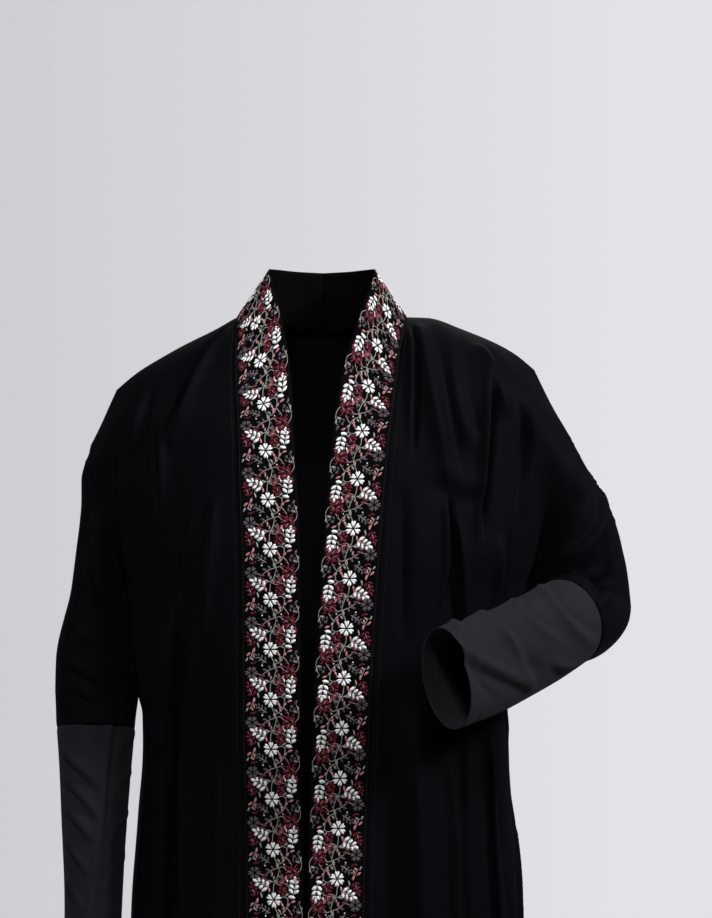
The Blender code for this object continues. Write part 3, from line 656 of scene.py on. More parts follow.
def panel(side, face, trunk_strips, creases):
    """A side's trunk and sleeve of one face, creased and joined at the trough."""
    body, arm = trunk_grid(side, face, trunk_strips), arm_grid(side, face, ARM_STRIPS, ARM_ROWS[side])
    split = np.count_nonzero(DROPS <= SPLIT_DROP[side] + 1e-9)
    draped_over(body, arm, split)
    body, arm = creased([body, arm], side, face, creases, split)
    arm[:split, 0] = body[:split, -1]
    return body, arm


back = {side: panel(side, BACK, BACK_STRIPS, BACK_CREASES[side]) for side in (RIGHT, LEFT)}
back[RIGHT][0][:, 0] = back[LEFT][0][:, 0]
back_grids = [(grid, side == RIGHT) for side in (RIGHT, LEFT) for grid in back[side]]
back_panel = cloth("back_panel_cloth", back_grids, WALL, crepe)
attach(back_panel, "root")
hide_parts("back_panel")


# ================================================================ the two front panels
# A front each in the same crepe, with the sleeve's front half cut in one. The cloth breaks over the
# chest and the lifted left arm, and falls in long folds from there to the hem.
FOLDS[RIGHT, FRONT] = table(FOLD_COLUMNS, [
    (-0.124, 0.22, -0.182, 0.012, 0.024, 0.010, 0.020),
    (-0.158, 0.30, -0.222, 0.009, 0.020, 0.008, 0.016),
    (-0.096, 0.62, -0.120, 0.006, 0.022, 0.012, 0.017),
])
FOLDS[LEFT, FRONT] = table(FOLD_COLUMNS, [
    (0.064, 0.30, 0.085, 0.008, 0.020, 0.013, 0.018),
    (0.127, 0.16, 0.143, 0.014, 0.026, 0.012, 0.019),
    (0.150, 0.33, 0.212, 0.011, 0.022, 0.010, 0.017),
])
FRONT_CREASES = {
    RIGHT: table(CREASE_COLUMNS, [
        (-0.088, -0.013, -0.118, -0.058, -0.146, -0.132, 0.0038, 0.0097, -1.1),
        (-0.153, -0.112, -0.151, -0.151, -0.152, -0.195, 0.0038, 0.0076, -0.8),
        (-0.194, -0.110, -0.192, -0.185, -0.184, -0.265, 0.0047, 0.0076, -0.8),
        (-0.120, -0.190, -0.128, -0.242, -0.131, -0.300, 0.0038, 0.0063, -0.8),
        (-0.099, -0.180, -0.104, -0.237, -0.110, -0.320, 0.0047, 0.0076, -0.8),
        (-0.170, -0.075, -0.178, -0.110, -0.178, -0.160, 0.0051, 0.0063, 0.6),
        (-0.140, -0.280, -0.147, -0.427, -0.152, -0.640, 0.0047, 0.0130, 0.5),
        (-0.110, -0.265, -0.126, -0.417, -0.132, -0.640, 0.0047, 0.0107, -0.5),
        (-0.094, -0.430, -0.098, -0.600, -0.104, -0.860, 0.0070, 0.0086, -0.5),
        (-0.164, -0.400, -0.172, -0.600, -0.190, -0.980, 0.0051, 0.0107, -0.5),
        (-0.108, -0.780, -0.114, -1.080, -0.132, -1.405, 0.0090, 0.0130, 0.6),
        (-0.160, -0.840, -0.172, -1.100, -0.186, -1.405, 0.0080, 0.0119, -0.6),
        (-0.205, -0.560, -0.214, -0.900, -0.232, -1.380, 0.0080, 0.0045, 0.5),
        (-0.092, -0.980, -0.094, -1.180, -0.102, -1.410, 0.0070, 0.0097, -0.6),
        (-0.236, -0.112, -0.232, -0.140, -0.230, -0.170, 0.0040, -0.0036, 0.3),
        (-0.238, -0.215, -0.231, -0.255, -0.220, -0.285, 0.0043, 0.0053, 0.4),
        (-0.246, -0.300, -0.232, -0.316, -0.214, -0.322, 0.0038, 0.0039, -0.6),
        (-0.252, -0.338, -0.234, -0.346, -0.206, -0.368, 0.0038, 0.0053, -0.8),
        (-0.256, -0.362, -0.238, -0.366, -0.210, -0.388, 0.0034, 0.0047, -0.8),
        (-0.250, -0.384, -0.236, -0.386, -0.216, -0.402, 0.0034, 0.0039, -0.8),
    ]),
    LEFT: table(CREASE_COLUMNS, [
        (0.084, -0.012, 0.088, -0.049, 0.084, -0.140, 0.0030, 0.0076, 1.4),
        (0.096, -0.008, 0.108, -0.085, 0.122, -0.165, 0.0090, 0.0119, 0.5),
        (0.112, -0.146, 0.134, -0.160, 0.158, -0.162, 0.0110, 0.0047, -0.5),
        (0.126, -0.022, 0.132, -0.092, 0.150, -0.128, 0.0080, 0.0059, 0.6),
        (0.162, -0.050, 0.157, -0.123, 0.149, -0.216, 0.0043, 0.0119, 1.3),
        (0.152, -0.028, 0.167, -0.061, 0.180, -0.100, 0.0080, 0.0097, 0.4),
        (0.194, -0.056, 0.202, -0.074, 0.207, -0.092, 0.0034, 0.0054, 0.6),
        (0.200, -0.082, 0.205, -0.123, 0.192, -0.195, 0.0051, 0.0097, -0.8),
        (0.119, -0.178, 0.119, -0.223, 0.113, -0.285, 0.0034, 0.0097, 1.3),
        (0.131, -0.198, 0.137, -0.251, 0.139, -0.305, 0.0034, 0.0097, -1.3),
        (0.078, -0.170, 0.080, -0.237, 0.078, -0.318, 0.0065, -0.0065, 0.2),
        (0.172, -0.215, 0.170, -0.260, 0.162, -0.330, 0.0070, 0.0097, 0.6),
        (0.090, -0.380, 0.094, -0.530, 0.108, -0.900, 0.0100, 0.0130, 0.4),
        (0.150, -0.370, 0.163, -0.474, 0.186, -0.780, 0.0070, 0.0135, 0.5),
        (0.124, -0.420, 0.128, -0.560, 0.134, -0.800, 0.0051, 0.0086, -0.6),
        (0.180, -0.360, 0.194, -0.560, 0.212, -0.900, 0.0070, 0.0035, -0.5),
        (0.108, -0.760, 0.112, -1.060, 0.118, -1.405, 0.0090, 0.0130, 0.5),
        (0.166, -0.800, 0.174, -1.080, 0.182, -1.405, 0.0090, 0.0130, -0.5),
        (0.228, -0.700, 0.236, -1.000, 0.248, -1.400, 0.0080, 0.0040, 0.4),
        (0.068, -0.900, 0.068, -1.120, 0.070, -1.410, 0.0070, 0.0097, 0.6),
        (0.232, -0.104, 0.251, -0.147, 0.254, -0.182, 0.0051, 0.0060, 0.6),
        (0.262, -0.160, 0.275, -0.206, 0.232, -0.242, 0.0051, 0.0066, -0.6),
        (0.278, -0.182, 0.279, -0.240, 0.246, -0.264, 0.0051, 0.0066, -0.6),
        (0.262, -0.146, 0.279, -0.201, 0.280, -0.256, 0.0043, 0.0047, 0.4),
        (0.287, -0.238, 0.281, -0.270, 0.258, -0.286, 0.0051, 0.0060, -0.6),
        (0.250, -0.250, 0.238, -0.262, 0.224, -0.262, 0.0043, 0.0047, -0.4),
    ]),
}
FRONT_STRIPS = strips(128)
fronts = {side: panel(side, FRONT, FRONT_STRIPS, FRONT_CREASES[side]) for side in (RIGHT, LEFT)}
for side, name, area in ((RIGHT, "front_panel_right", 0.36), (LEFT, "front_panel_left", 0.40)):
    front = cloth(name + "_cloth", [(grid, side == LEFT) for grid in fronts[side]], WALL, crepe)
    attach(front, "root")
    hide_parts(name)


# ================================================================ the lower sleeves
# A fitted tube of charcoal jersey on each arm, one piece with an underarm seam, sewn to the black
# sleeve just below the elbow. It wrinkles along its length, and its cuff is a turned edge.
jersey = woven("charcoal_jersey", (0.0080, 0.0077, 0.0102), (0.0205, 0.0199, 0.0246), 0.7, 0.12, 0.85,
               Specular_IOR_Level=0.05, Sheen_Weight=0.02, Sheen_Roughness=0.5,
               Sheen_Tint=(0.9, 0.9, 1.0, 1.0))
CUFF = {
    RIGHT: dict(centre=(-0.2240, -0.056, -0.618), along=(0.0, -0.16, -1.0), across=0.0265, deep=0.044),
    LEFT: dict(centre=(0.1170, -0.210, -0.3430), along=(-0.620, -0.755, -0.210), across=0.0265, deep=0.047),
}
SLEEVE_SAG = {RIGHT: 0.0, LEFT: 0.005}
HEM_WAY = 0.90           # how far down the sleeve its turned edge is stitched, as a share
HEM_THICK = 0.0005       # what the turned edge adds
SLEEVE_PULL = 0.0008     # how far the top seam and the cuff's stitches draw the jersey in
WRINKLES = {
    (RIGHT, FRONT): table(CREASE_COLUMNS, [
        (-0.205, -0.398, -0.213, -0.475, -0.224, -0.600, 0.0045, 0.0048, 1.2),
        (-0.252, -0.425, -0.236, -0.437, -0.212, -0.462, 0.0043, 0.0051, -0.7),
        (-0.250, -0.452, -0.232, -0.466, -0.214, -0.492, 0.0038, 0.0047, -0.7),
        (-0.248, -0.478, -0.234, -0.492, -0.218, -0.512, 0.0043, 0.0043, -0.7),
        (-0.247, -0.512, -0.236, -0.524, -0.222, -0.545, 0.0034, 0.0039, -0.7),
        (-0.246, -0.548, -0.238, -0.560, -0.228, -0.578, 0.0038, 0.0035, -0.7),
        (-0.186, -0.412, -0.194, -0.422, -0.203, -0.440, 0.0034, 0.0019, 0.3),
        (-0.187, -0.446, -0.197, -0.458, -0.208, -0.476, 0.0038, 0.0018, 0.3),
        (-0.190, -0.488, -0.200, -0.500, -0.212, -0.520, 0.0034, 0.0018, 0.3),
        (-0.194, -0.530, -0.204, -0.544, -0.216, -0.566, 0.0038, 0.0014, 0.3),
    ]),
    (RIGHT, BACK): table(CREASE_COLUMNS, [
        (-0.250, -0.440, -0.226, -0.452, -0.196, -0.446, 0.0043, 0.0030, 0.7),
        (-0.248, -0.486, -0.224, -0.496, -0.198, -0.488, 0.0043, 0.0027, 0.7),
        (-0.246, -0.540, -0.226, -0.552, -0.202, -0.548, 0.0043, 0.0022, 0.7),
    ]),
    (LEFT, FRONT): table(CREASE_COLUMNS, [
        (0.130, -0.278, 0.172, -0.304, 0.200, -0.362, 0.0072, 0.0062, 0.4),
        (0.122, -0.310, 0.160, -0.333, 0.206, -0.358, 0.0055, 0.0054, -0.5),
        (0.208, -0.255, 0.230, -0.292, 0.268, -0.322, 0.0059, 0.0062, 0.5),
        (0.172, -0.308, 0.190, -0.330, 0.214, -0.342, 0.0093, -0.0049, 0.1),
        (0.134, -0.322, 0.147, -0.345, 0.166, -0.364, 0.0085, -0.0043, 0.1),
        (0.180, -0.268, 0.196, -0.292, 0.232, -0.318, 0.0051, 0.0035, 0.7),
        (0.110, -0.286, 0.128, -0.298, 0.140, -0.322, 0.0051, 0.0041, 0.5),
        (0.218, -0.330, 0.232, -0.338, 0.252, -0.336, 0.0051, 0.0038, -0.5),
    ]),
    (LEFT, BACK): table(CREASE_COLUMNS, [
        (0.250, -0.290, 0.224, -0.300, 0.206, -0.330, 0.0051, 0.0032, 0.5),
        (0.200, -0.300, 0.184, -0.322, 0.170, -0.352, 0.0051, 0.0027, 0.5),
    ]),
}


def lower_sleeve(side, rows, sides):
    """Rings of the tube from its top seam to the cuff: the centre runs straight, less a sag, and each
    ring is an ellipse whose axes shrink towards the wrist."""
    top, cuff = arm_ring(side, 1.0), CUFF[side]
    outer, front_way = ring_frame(side, cuff["along"])
    way = np.linspace(0, 1, rows + 1)[:, None, None]
    centre = top["centre"] * (1 - way) + np.array(cuff["centre"]) * way
    sag = SLEEVE_SAG[side] * np.sin(np.pi * way)
    centre = centre - sag * np.array([0, 0, 1.0])
    across = top["across"] + (cuff["across"] - top["across"]) * (1 - (1 - way) ** 1.6)
    deep = top["deep"] + (cuff["deep"] - top["deep"]) * way + sag / 2
    turn = np.radians(np.linspace(0, 360, sides + 1))[None, :, None]
    ring_outer = unit(top["outer"] * (1 - way) + outer * way)
    ring_front = unit(top["front"] * (1 - way) + front_way * way)
    return centre + across * np.cos(turn) * ring_outer + deep * np.sin(turn) * ring_front


lower_sleeves = {}
for side, name, width in ((RIGHT, "lower_sleeve_right", 0.28), (LEFT, "lower_sleeve_left", 0.27)):
    rings = lower_sleeve(side, 96, 120)
    inner = rings.mean(axis=1, keepdims=True)
    facing = normals_of(rings, 1)
    facing[:, [0, -1]] = unit(facing[:, [0]] + facing[:, [-1]])
    facing *= np.sign(((rings - inner) * facing).sum(axis=-1).mean())
    flat_points, flat_normals = rings.reshape(-1, 3), facing.reshape(-1, 3)
    height = 0.5 * wander(flat_points)
    for face in (FRONT, BACK):
        for row in zip(*WRINKLES[side, face].values()):
            height = height + crease_height(flat_points, flat_normals, face, *row)
    height = height.reshape(rings.shape[:2])
    height[:, -1] = height[:, 0]
    along_way = np.linspace(0, 1, len(rings))[:, None]
    past_hem = along_way - HEM_WAY
    turned_edge = HEM_THICK * ease(past_hem / 0.005) - SLEEVE_PULL * np.exp(-(past_hem / 0.008) ** 2)
    top_seam = SLEEVE_PULL * np.exp(-(along_way / 0.012) ** 2)
    rings = rings + facing * (height + turned_edge - top_seam)[..., None]
    lower_sleeves[side] = (rings, facing)
    tube = cloth(name + "_cloth", [(rings, side == RIGHT)], WALL, jersey)
    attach(tube, "root")
    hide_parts(name)


# ================================================================ the border
# A woven black ribbon on a strip of the same crepe, sewn edge to edge with the fronts and round the
# neck, in two lengths that are joined at the centre back. It stands up round the neck.
BORDER_WALL = 0.0012
STAND_DROP = 0.12
STAND = table("way x y z", [
    (0.00, -0.0255, -0.1200, -0.116), (0.12, -0.0310, -0.1000, -0.071), (0.24, -0.0370, -0.0750, -0.026),
    (0.36, -0.0440, -0.0480, 0.012), (0.50, -0.0520, -0.0120, 0.046), (0.62, -0.0520, 0.0180, 0.050),
    (0.76, -0.0430, 0.0430, 0.051), (0.88, -0.0240, 0.0570, 0.050), (1.00, 0.0000, 0.0615, 0.049),
])
NECK_ROWS = 30
BORDER_STRIPS = 16

ribbon = woven("ribbon_ground", (0.0009, 0.0009, 0.0012), (0.0022, 0.0021, 0.0026), 0.6, 0.12, 0.8,
               Specular_IOR_Level=0.03, Sheen_Weight=0.0, Sheen_Roughness=0.5)


def stand_edge(side, way):
    """Points of the border's free edge where it stands round the neck."""
    return np.stack([-side * read(STAND, "x", way, "way"), read(STAND, "y", way, "way"),
                     read(STAND, "z", way, "way")], axis=-1)


def border_half(side):
    """A length of the border, from its join at the centre back down to the hem: straight rows from
    its seam to its free edge, with a slow ripple along the free edge."""
    shares = np.arange(NECK_ROWS) / NECK_ROWS
    seam_x = read(BORDER_EDGES[side], "seam", DROPS)
    free_x = read(BORDER_EDGES[side], "free", DROPS)
    seam = trunk(side, FRONT, angle_at(side, DROPS, seam_x), DROPS)
    free = trunk(side, FRONT, angle_at(side, DROPS, free_x), DROPS)
    way = np.clip((STAND_DROP - DROPS) / STAND_DROP, 0, 1) * 0.5
    stand = stand_edge(side, way)
    stand[:, 0] = free_x + (stand[:, 0] - free_x) * ease(way / 0.5)
    free = free + (stand - free) * ease(way / 0.15)[:, None]
    neck = trunk(side, BACK, angle_at(side, 0.0, side * NECK_HALF_WIDTH) * shares, 0.0)
    seam = np.concatenate([neck, seam])
    free = np.concatenate([stand_edge(side, 1 - 0.5 * shares), free])
    share = np.linspace(0, 1, BORDER_STRIPS + 1)[None, :, None]
    rows = seam[:, None] * (1 - share) + free[:, None] * share
    down = np.concatenate([0 * shares, DROPS])[:, None]
    ripple = 0.0016 * np.sin(19 * down + 0.8 * side) + 0.0009 * np.sin(43 * down - side)
    rows[..., 1] += ripple * share[..., 0] ** 2 * ease((down - 0.1) / 0.15)
    return rows


borders = {}
for side in (RIGHT, LEFT):
    rows = border_half(side)
    middle = rows[:, BORDER_STRIPS // 2]
    run = np.concatenate([[0], np.linalg.norm(np.diff(middle, axis=0), axis=-1).cumsum()])
    facing = normals_of(rows, side)
    borders[side] = dict(points=rows, normals=facing, run=run)


def on_border(side, run, share, height):
    """Points on the border: run along it from the centre back, share across it from its seam to its
    free edge, and height over its face, read between the grid's points."""
    border = borders[side]
    rows = len(border["run"])
    row = np.clip(np.interp(run, border["run"], np.arange(rows)), 0, rows - 1.001)
    column = np.clip(share, 0, 0.9999) * BORDER_STRIPS
    i, j = row.astype(int), column.astype(int)
    u, v = (row - i)[..., None], (column - j)[..., None]

    def between(values):
        upper = values[i, j] * (1 - v) + values[i, j + 1] * v
        lower = values[i + 1, j] * (1 - v) + values[i + 1, j + 1] * v
        return upper * (1 - u) + lower * u

    return between(border["points"]) + unit(between(border["normals"])) * (BORDER_WALL + height)[..., None]


# ================================================================ the embroidery
# Satin-stitched flowers, leaves and vines in white, burgundy, pink, taupe and sage thread. One
# repeat is 48 mm long, and it runs on round the neck, so the left front shows it upside down.
REPEAT = 0.0482
RIBBON = 0.0585          # width that the design is drawn for
MM = 0.001
FLOWER_DROP = {RIGHT: 0.274, LEFT: 0.254}    # where one white flower lies on each front
THREAD_HEIGHT = 0.00042
STATIONS = np.array([0.0, 0.13, 0.37, 0.66, 0.89, 1.0])    # along a leaf, its two tips among them


def sprig(a, b, turn, step, pairs, spread, length, width):
    """Leaves in pairs along a stem that starts at (a, b), with one more at its tip: rows of the
    centre, the turn in degrees, the length and the width, in mm."""
    rows = []
    for pair in range(pairs):
        reach = step * (pair + 0.5)
        for way in (-spread, spread):
            lean = math.radians(turn + way)
            size = length * (1 - 0.10 * pair)
            rows.append((a + reach * math.cos(math.radians(turn)) + size * 0.55 * math.cos(lean),
                         b + reach * math.sin(math.radians(turn)) + size * 0.55 * math.sin(lean),
                         turn + way, size, width))
    reach = step * pairs + length * 0.4
    rows.append((a + reach * math.cos(math.radians(turn)), b + reach * math.sin(math.radians(turn)),
                 turn, length * 0.9, width))
    return rows


def flower(a, b, petals, radius, eye, turn=0.0):
    """A flower of notched petals: each is two narrow halves side by side, spreading from the eye."""
    rows = []
    for petal in range(petals):
        size = radius * (1.0 if petal % 2 else 0.94)
        for half in (-1, 1):
            way = math.radians(turn + petal * 360 / petals + half * 60 / petals)
            centre = (size + eye) / 2
            rows.append((a + centre * math.cos(way), b + centre * math.sin(way),
                         math.degrees(way) + half * 3, size - eye, 2.15 * radius / petals))
    return rows


# Each thread's leaves, by centre across the ribbon (towards the free edge) and along it, in mm from
# the white flower, then turn, length and width. Petals and sprigs are added to them.
PETALS = {
    "white": flower(0, 0, 6, 7.7, 0.9, 30),
    "burgundy": flower(9.0, -8.6, 5, 5.2, 0.6, 20) + flower(18.4, 21.6, 6, 7.4, 0.8, 10),
    "taupe": flower(-18.6, 22.4, 6, 6.5, 0.9, 0),
}
LEAVES = {
    "white": sprig(-3.8, -10.8, 206, 4.5, 3, 58, 6.2, 3.8) + sprig(19.2, -3.8, -84, 4.7, 3, 50, 6.2, 3.8) + [
        (17.6, -3.0, 12, 7.0, 4.0), (-8.2, 15.2, 40, 1.8, 1.6), (10.6, 13.8, 20, 1.6, 1.4),
        (13.2, -18.8, 70, 4.6, 2.2),
    ],
    "burgundy": sprig(-16.6, -1.6, -113, 4.1, 3, 52, 5.2, 2.7) + sprig(6.0, -13.2, -60, 3.4, 2, 55, 3.8, 2.1)
    + sprig(12.0, 24.6, 118, 3.6, 2, 50, 4.2, 2.3) + sprig(22.0, 27.0, 60, 3.4, 1, 50, 4.0, 2.2) + [
        (-18.0, 13.2, 10, 4.6, 2.4), (-15.0, 12.4, -40, 3.2, 2.0), (-8.6, 24.2, -20, 5.0, 2.8),
        (-7.4, 28.6, 60, 4.8, 2.7), (-11.4, 27.0, 150, 4.2, 2.4), (12.0, 15.8, 200, 4.8, 2.7),
        (12.6, 28.4, 140, 4.6, 2.6), (24.6, 27.8, 40, 4.4, 2.6), (15.8, 11.8, -60, 4.2, 2.4),
        (22.6, 14.4, -30, 3.6, 2.2), (5.2, -15.2, 200, 3.4, 2.0),
    ],
    "pink": [
        (-21.6, 4.6, 140, 5.4, 2.6), (-16.2, 0.8, -80, 5.2, 2.6), (-16.6, 6.2, 80, 4.6, 2.3),
        (8.2, 4.6, 62, 5.4, 2.4), (18.8, 1.4, -20, 5.4, 2.6), (14.6, 4.2, 120, 4.0, 2.0),
        (7.6, -16.4, -12, 5.2, 2.4), (12.0, -21.0, -70, 5.2, 2.4), (-4.4, -9.4, 80, 5.0, 2.4),
        (-1.4, -23.8, 95, 4.8, 2.2), (-6.8, -12.6, 20, 4.2, 2.0), (9.6, 9.6, 100, 3.8, 2.0),
    ],
    "taupe": sprig(-3.4, 12.6, 213, 3.9, 3, 56, 4.6, 2.3) + sprig(2.6, 25.4, 35, 3.4, 2, 52, 3.9, 2.0)
    + sprig(-6.2, -19.6, 160, 3.4, 2, 52, 3.8, 2.0) + sprig(17.4, 7.6, 20, 3.2, 2, 50, 3.6, 1.9) + [
        (-1.0, 17.2, -120, 4.6, 2.5), (-5.6, 19.2, 190, 4.8, 2.5), (-2.4, 21.4, 170, 3.6, 2.0),
        (8.2, 24.6, 70, 5.0, 2.8), (9.4, 29.0, 110, 4.6, 2.6), (6.2, 20.0, 50, 3.8, 2.2),
        (24.8, 2.6, -60, 5.2, 2.8), (20.6, 5.8, 170, 3.6, 2.0), (-7.6, -22.6, 190, 4.6, 2.4),
        (-3.6, -26.0, 215, 4.2, 2.2), (13.4, -14.2, 80, 4.4, 2.3), (24.0, -20.6, -40, 3.6, 2.0),
    ],
    "sage": [
        (-23.2, 9.8, 120, 4.6, 2.1), (-18.4, 9.0, 40, 4.8, 2.1), (-12.2, -4.2, 75, 6.0, 2.0),
        (-11.4, -8.4, 50, 4.0, 1.6), (-3.4, -17.6, 200, 5.0, 2.2), (2.6, -17.4, 40, 4.4, 2.0),
        (0.4, -20.6, -80, 4.0, 1.9), (24.2, 11.2, 20, 5.2, 2.4), (27.2, 8.2, -70, 4.4, 1.9),
        (5.4, 10.4, 50, 4.6, 2.2), (9.6, 7.6, -20, 4.2, 2.0), (16.4, -17.0, 60, 4.6, 2.1),
        (12.8, -5.0, -35, 4.8, 2.0), (3.6, 15.0, 75, 5.4, 2.0), (6.4, 2.0, -40, 3.6, 1.8),
        (20.8, 19.4, 40, 5.0, 0.9), (17.6, 24.6, 120, 5.4, 0.9), (15.4, 20.2, 200, 5.0, 0.9),
        (-19.6, -7.6, -113, 6.4, 0.8), (10.0, -9.4, 250, 4.0, 0.8),
    ],
}
# The vines, in the same measure, through their points.
VINES = [
    [(6.4, -1.8), (10.0, -3.0), (13.6, -1.0), (13.4, 4.0), (11.6, 9.2), (8.0, 12.6), (3.4, 14.0)],
    [(0.6, 6.4), (2.6, 10.4), (5.0, 15.2), (5.4, 20.0), (4.0, 25.2), (1.6, 30.0), (0.0, 34.0), (-0.4, 41.8)],
    [(1.8, 29.6), (-3.0, 31.2), (-6.0, 34.6), (-4.4, 36.2)],
    [(13.4, -0.6), (16.0, -3.4), (19.4, -5.2), (22.4, -18.0)],
    [(12.6, 6.8), (15.6, 10.4), (18.4, 14.6)],
    [(25.2, 4.6), (26.6, 8.0), (28.0, 13.6), (26.6, 18.4), (23.6, 21.4)],
    [(5.4, 17.6), (9.6, 16.2), (14.0, 20.6)],
    [(4.4, 24.0), (8.0, 26.4), (9.6, 31.0)],
    [(-3.4, 12.6), (-7.8, 10.2), (-12.0, 7.2)],
    [(-16.4, -1.0), (-18.4, 5.0), (-20.6, 9.6)],
    [(-12.8, 22.8), (-8.6, 24.6), (-4.0, 20.8), (1.0, 18.6), (5.2, 17.2)],
    [(-4.6, -12.6), (-10.8, -14.4), (-17.6, -16.6)],
    [(1.4, 31.4), (6.4, 33.4), (11.4, 32.0), (16.4, 36.0)],
]


def along_vine(points, step):
    """A smooth line through these points: cubics whose slopes are half the way between neighbours."""
    points = np.array(points, float)
    slopes = np.gradient(points, axis=0)
    count = max(2, int(np.linalg.norm(np.diff(points, axis=0), axis=-1).sum() / step / (len(points) - 1)))
    t = (np.arange(count) / count)[None, :, None]
    first, last = points[:-1, None], points[1:, None]
    line = (2 * t**3 - 3 * t**2 + 1) * first + (3 * t**2 - 2 * t**3) * last
    line = line + (t**3 - 2 * t**2 + t) * slopes[:-1, None] + (t**3 - t**2) * slopes[1:, None]
    return np.concatenate([line.reshape(-1, 2), points[-1:]])


def leaf_shapes(rows, belly=1.12):
    """Leaves as closed pods, 14 points each: (a, b, height, u, v). The half width is the sine of the
    way along it to the power belly, and the section is a low ridge over a flat back."""
    a, b, turn, length, width = (column[:, None, None] for column in np.array(rows, float).T)
    turn = np.radians(turn)
    along = STATIONS[None, :, None]
    swell = np.abs(np.sin(np.pi * STATIONS**belly))[None, :, None] ** 0.68
    across = np.array([-0.5, 0.0, 0.5])[None, None, :]
    lift = np.array([-0.12, 1.0, -0.12])[None, None, :] * np.where(swell > 0.01, swell, 0) ** 0.5
    reach, beside = (along - 0.5) * length, across * width * swell
    values = [
        a + reach * np.cos(turn) - beside * np.sin(turn),
        b + reach * np.sin(turn) + beside * np.cos(turn),
        THREAD_HEIGHT / MM * lift,
        along,
        across + 0.5,
    ]
    size = (len(rows), len(STATIONS), 3)
    grid = np.stack([np.broadcast_to(value, size) for value in values], axis=-1)
    rings = grid[:, 1:-1].reshape(len(rows), 12, 5)
    return np.concatenate([grid[:, :1, 1], rings, grid[:, -1:, 1]], axis=1)


def leaf_faces():
    """The 24 triangles of one pod: a fan at each tip and three bands of quads between."""
    faces = []
    for k in range(3):
        after = (k + 1) % 3
        faces += [(0, 1 + k, 1 + after), (13, 10 + after, 10 + k)]
        for ring in range(3):
            near, far = 1 + 3 * ring, 4 + 3 * ring
            faces += [(near + k, far + k, far + after), (near + k, far + after, near + after)]
    return np.array(faces)


def stem_shapes(line, radius):
    """A vine's strip of thread as a closed pod of three-cornered rings along the line."""
    way = unit(np.gradient(line, axis=0))
    beside = np.stack([-way[:, 1], way[:, 0]], axis=-1)
    taper = np.ones(len(line))
    taper[[0, -1]] = 0.3
    corner = np.array([-1.0, 0.0, 1.0])
    ab = line[:, None] + beside[:, None] * (corner[None, :] * radius * taper[:, None])[..., None]
    height = np.array([-0.12, 0.8, -0.12])[None, :] * THREAD_HEIGHT / MM * taper[:, None]
    u = np.linspace(0, len(line) / 6, len(line))[:, None] + 0 * height
    v = (corner + 1)[None, :] / 2 + 0 * height
    return np.concatenate([ab, np.stack([height, u, v], axis=-1)], axis=-1).reshape(-1, 5)


def stem_faces(rings):
    """Triangles of a pod of three-cornered rings, with a cap at each end."""
    near = np.arange(rings - 1)[:, None] * 3
    k = np.arange(3)[None, :]
    after = (k + 1) % 3
    first = np.stack([near + k, near + 3 + k, near + 3 + after], axis=-1).reshape(-1, 3)
    second = np.stack([near + k, near + 3 + after, near + after], axis=-1).reshape(-1, 3)
    last = 3 * (rings - 1)
    return np.concatenate([first, second, [(0, 1, 2), (last + 2, last + 1, last)]])


def thread(name, colour, shade, roughness, sheen):
    """Satin-stitched thread: fine ribs across each leaf. Half of its colour is a painted highlight on the
    ribs' crowns and painted shade (the shade colour) between them; the other half is a random drift of tone.
    """
    made, tree, shader = finish(name, Specular_IOR_Level=0.22, Sheen_Weight=sheen, Sheen_Roughness=0.4)
    place = tree.node("ShaderNodeUVMap", {"uv_map": "thread"})
    ribs = tree.node("ShaderNodeTexWave", {"bands_direction": "X"},
                     {"Vector": place, "Scale": 4.2, "Distortion": 0.6, "Detail": 1.0}, "Fac")
    whole = tree.node("ShaderNodeTexCoord", out="Object")
    drift = tree.node("ShaderNodeTexNoise", {}, {"Vector": whole, "Scale": 260.0, "Detail": 1.0})
    # Painted highlight on the ribs' crowns and painted shade between them, for half the colour; the other
    # half is random tone.
    plug((ribs * 0.5 + drift * 0.5).blend(shade, colour), shader, "Base Color")
    plug(roughness + ribs * 0.1, shader, "Roughness")
    bump = tree.node("ShaderNodeBump", {}, {"Strength": 0.5, "Distance": 0.0001, "Height": ribs})
    plug(bump, shader, "Normal")
    return made


def embroidered(side, shapes, faces):
    """Pods laid on the border, as (points, faces, uvs). shapes is (pods, points, 5), and faces is for one
    pod. The ones that would cross the hem or the join at the centre back are left out."""
    run = side * (shapes[..., 1] * MM)
    inside = ((run > 0.0012) & (run < borders[side]["run"][-1] - 0.004)).all(axis=1)
    shapes, run = shapes[inside], run[inside]
    share = np.clip(0.5 + shapes[..., 0] * MM / RIBBON, 0.02, 0.98)
    points = on_border(side, run, share, shapes[..., 2] * MM).reshape(-1, 3)
    count = shapes.shape[1]
    faces = (faces[None, :, ::-1] + np.arange(len(shapes))[:, None, None] * count).reshape(-1, 3)
    return points, faces, shapes[..., 3:].reshape(-1, 2)


def pods(name, parts, material):
    """One object from several lists of (points, faces, uvs)."""
    points = np.concatenate([part[0] for part in parts])
    start = np.cumsum([0] + [len(part[0]) for part in parts])
    faces = np.concatenate([part[1] + offset for part, offset in zip(parts, start)])
    uvs = np.concatenate([part[2] for part in parts])
    mesh = bpy.data.meshes.new(name)
    mesh.from_pydata(points.tolist(), [], faces.tolist())
    mesh.uv_layers.new(name="thread").data.foreach_set("uv", uvs[faces.ravel()].ravel())
    mesh.shade_smooth()
    mesh.materials.append(material)
    made = bpy.data.objects.new(name, mesh)
    SCENE.collection.objects.link(made)
    return made
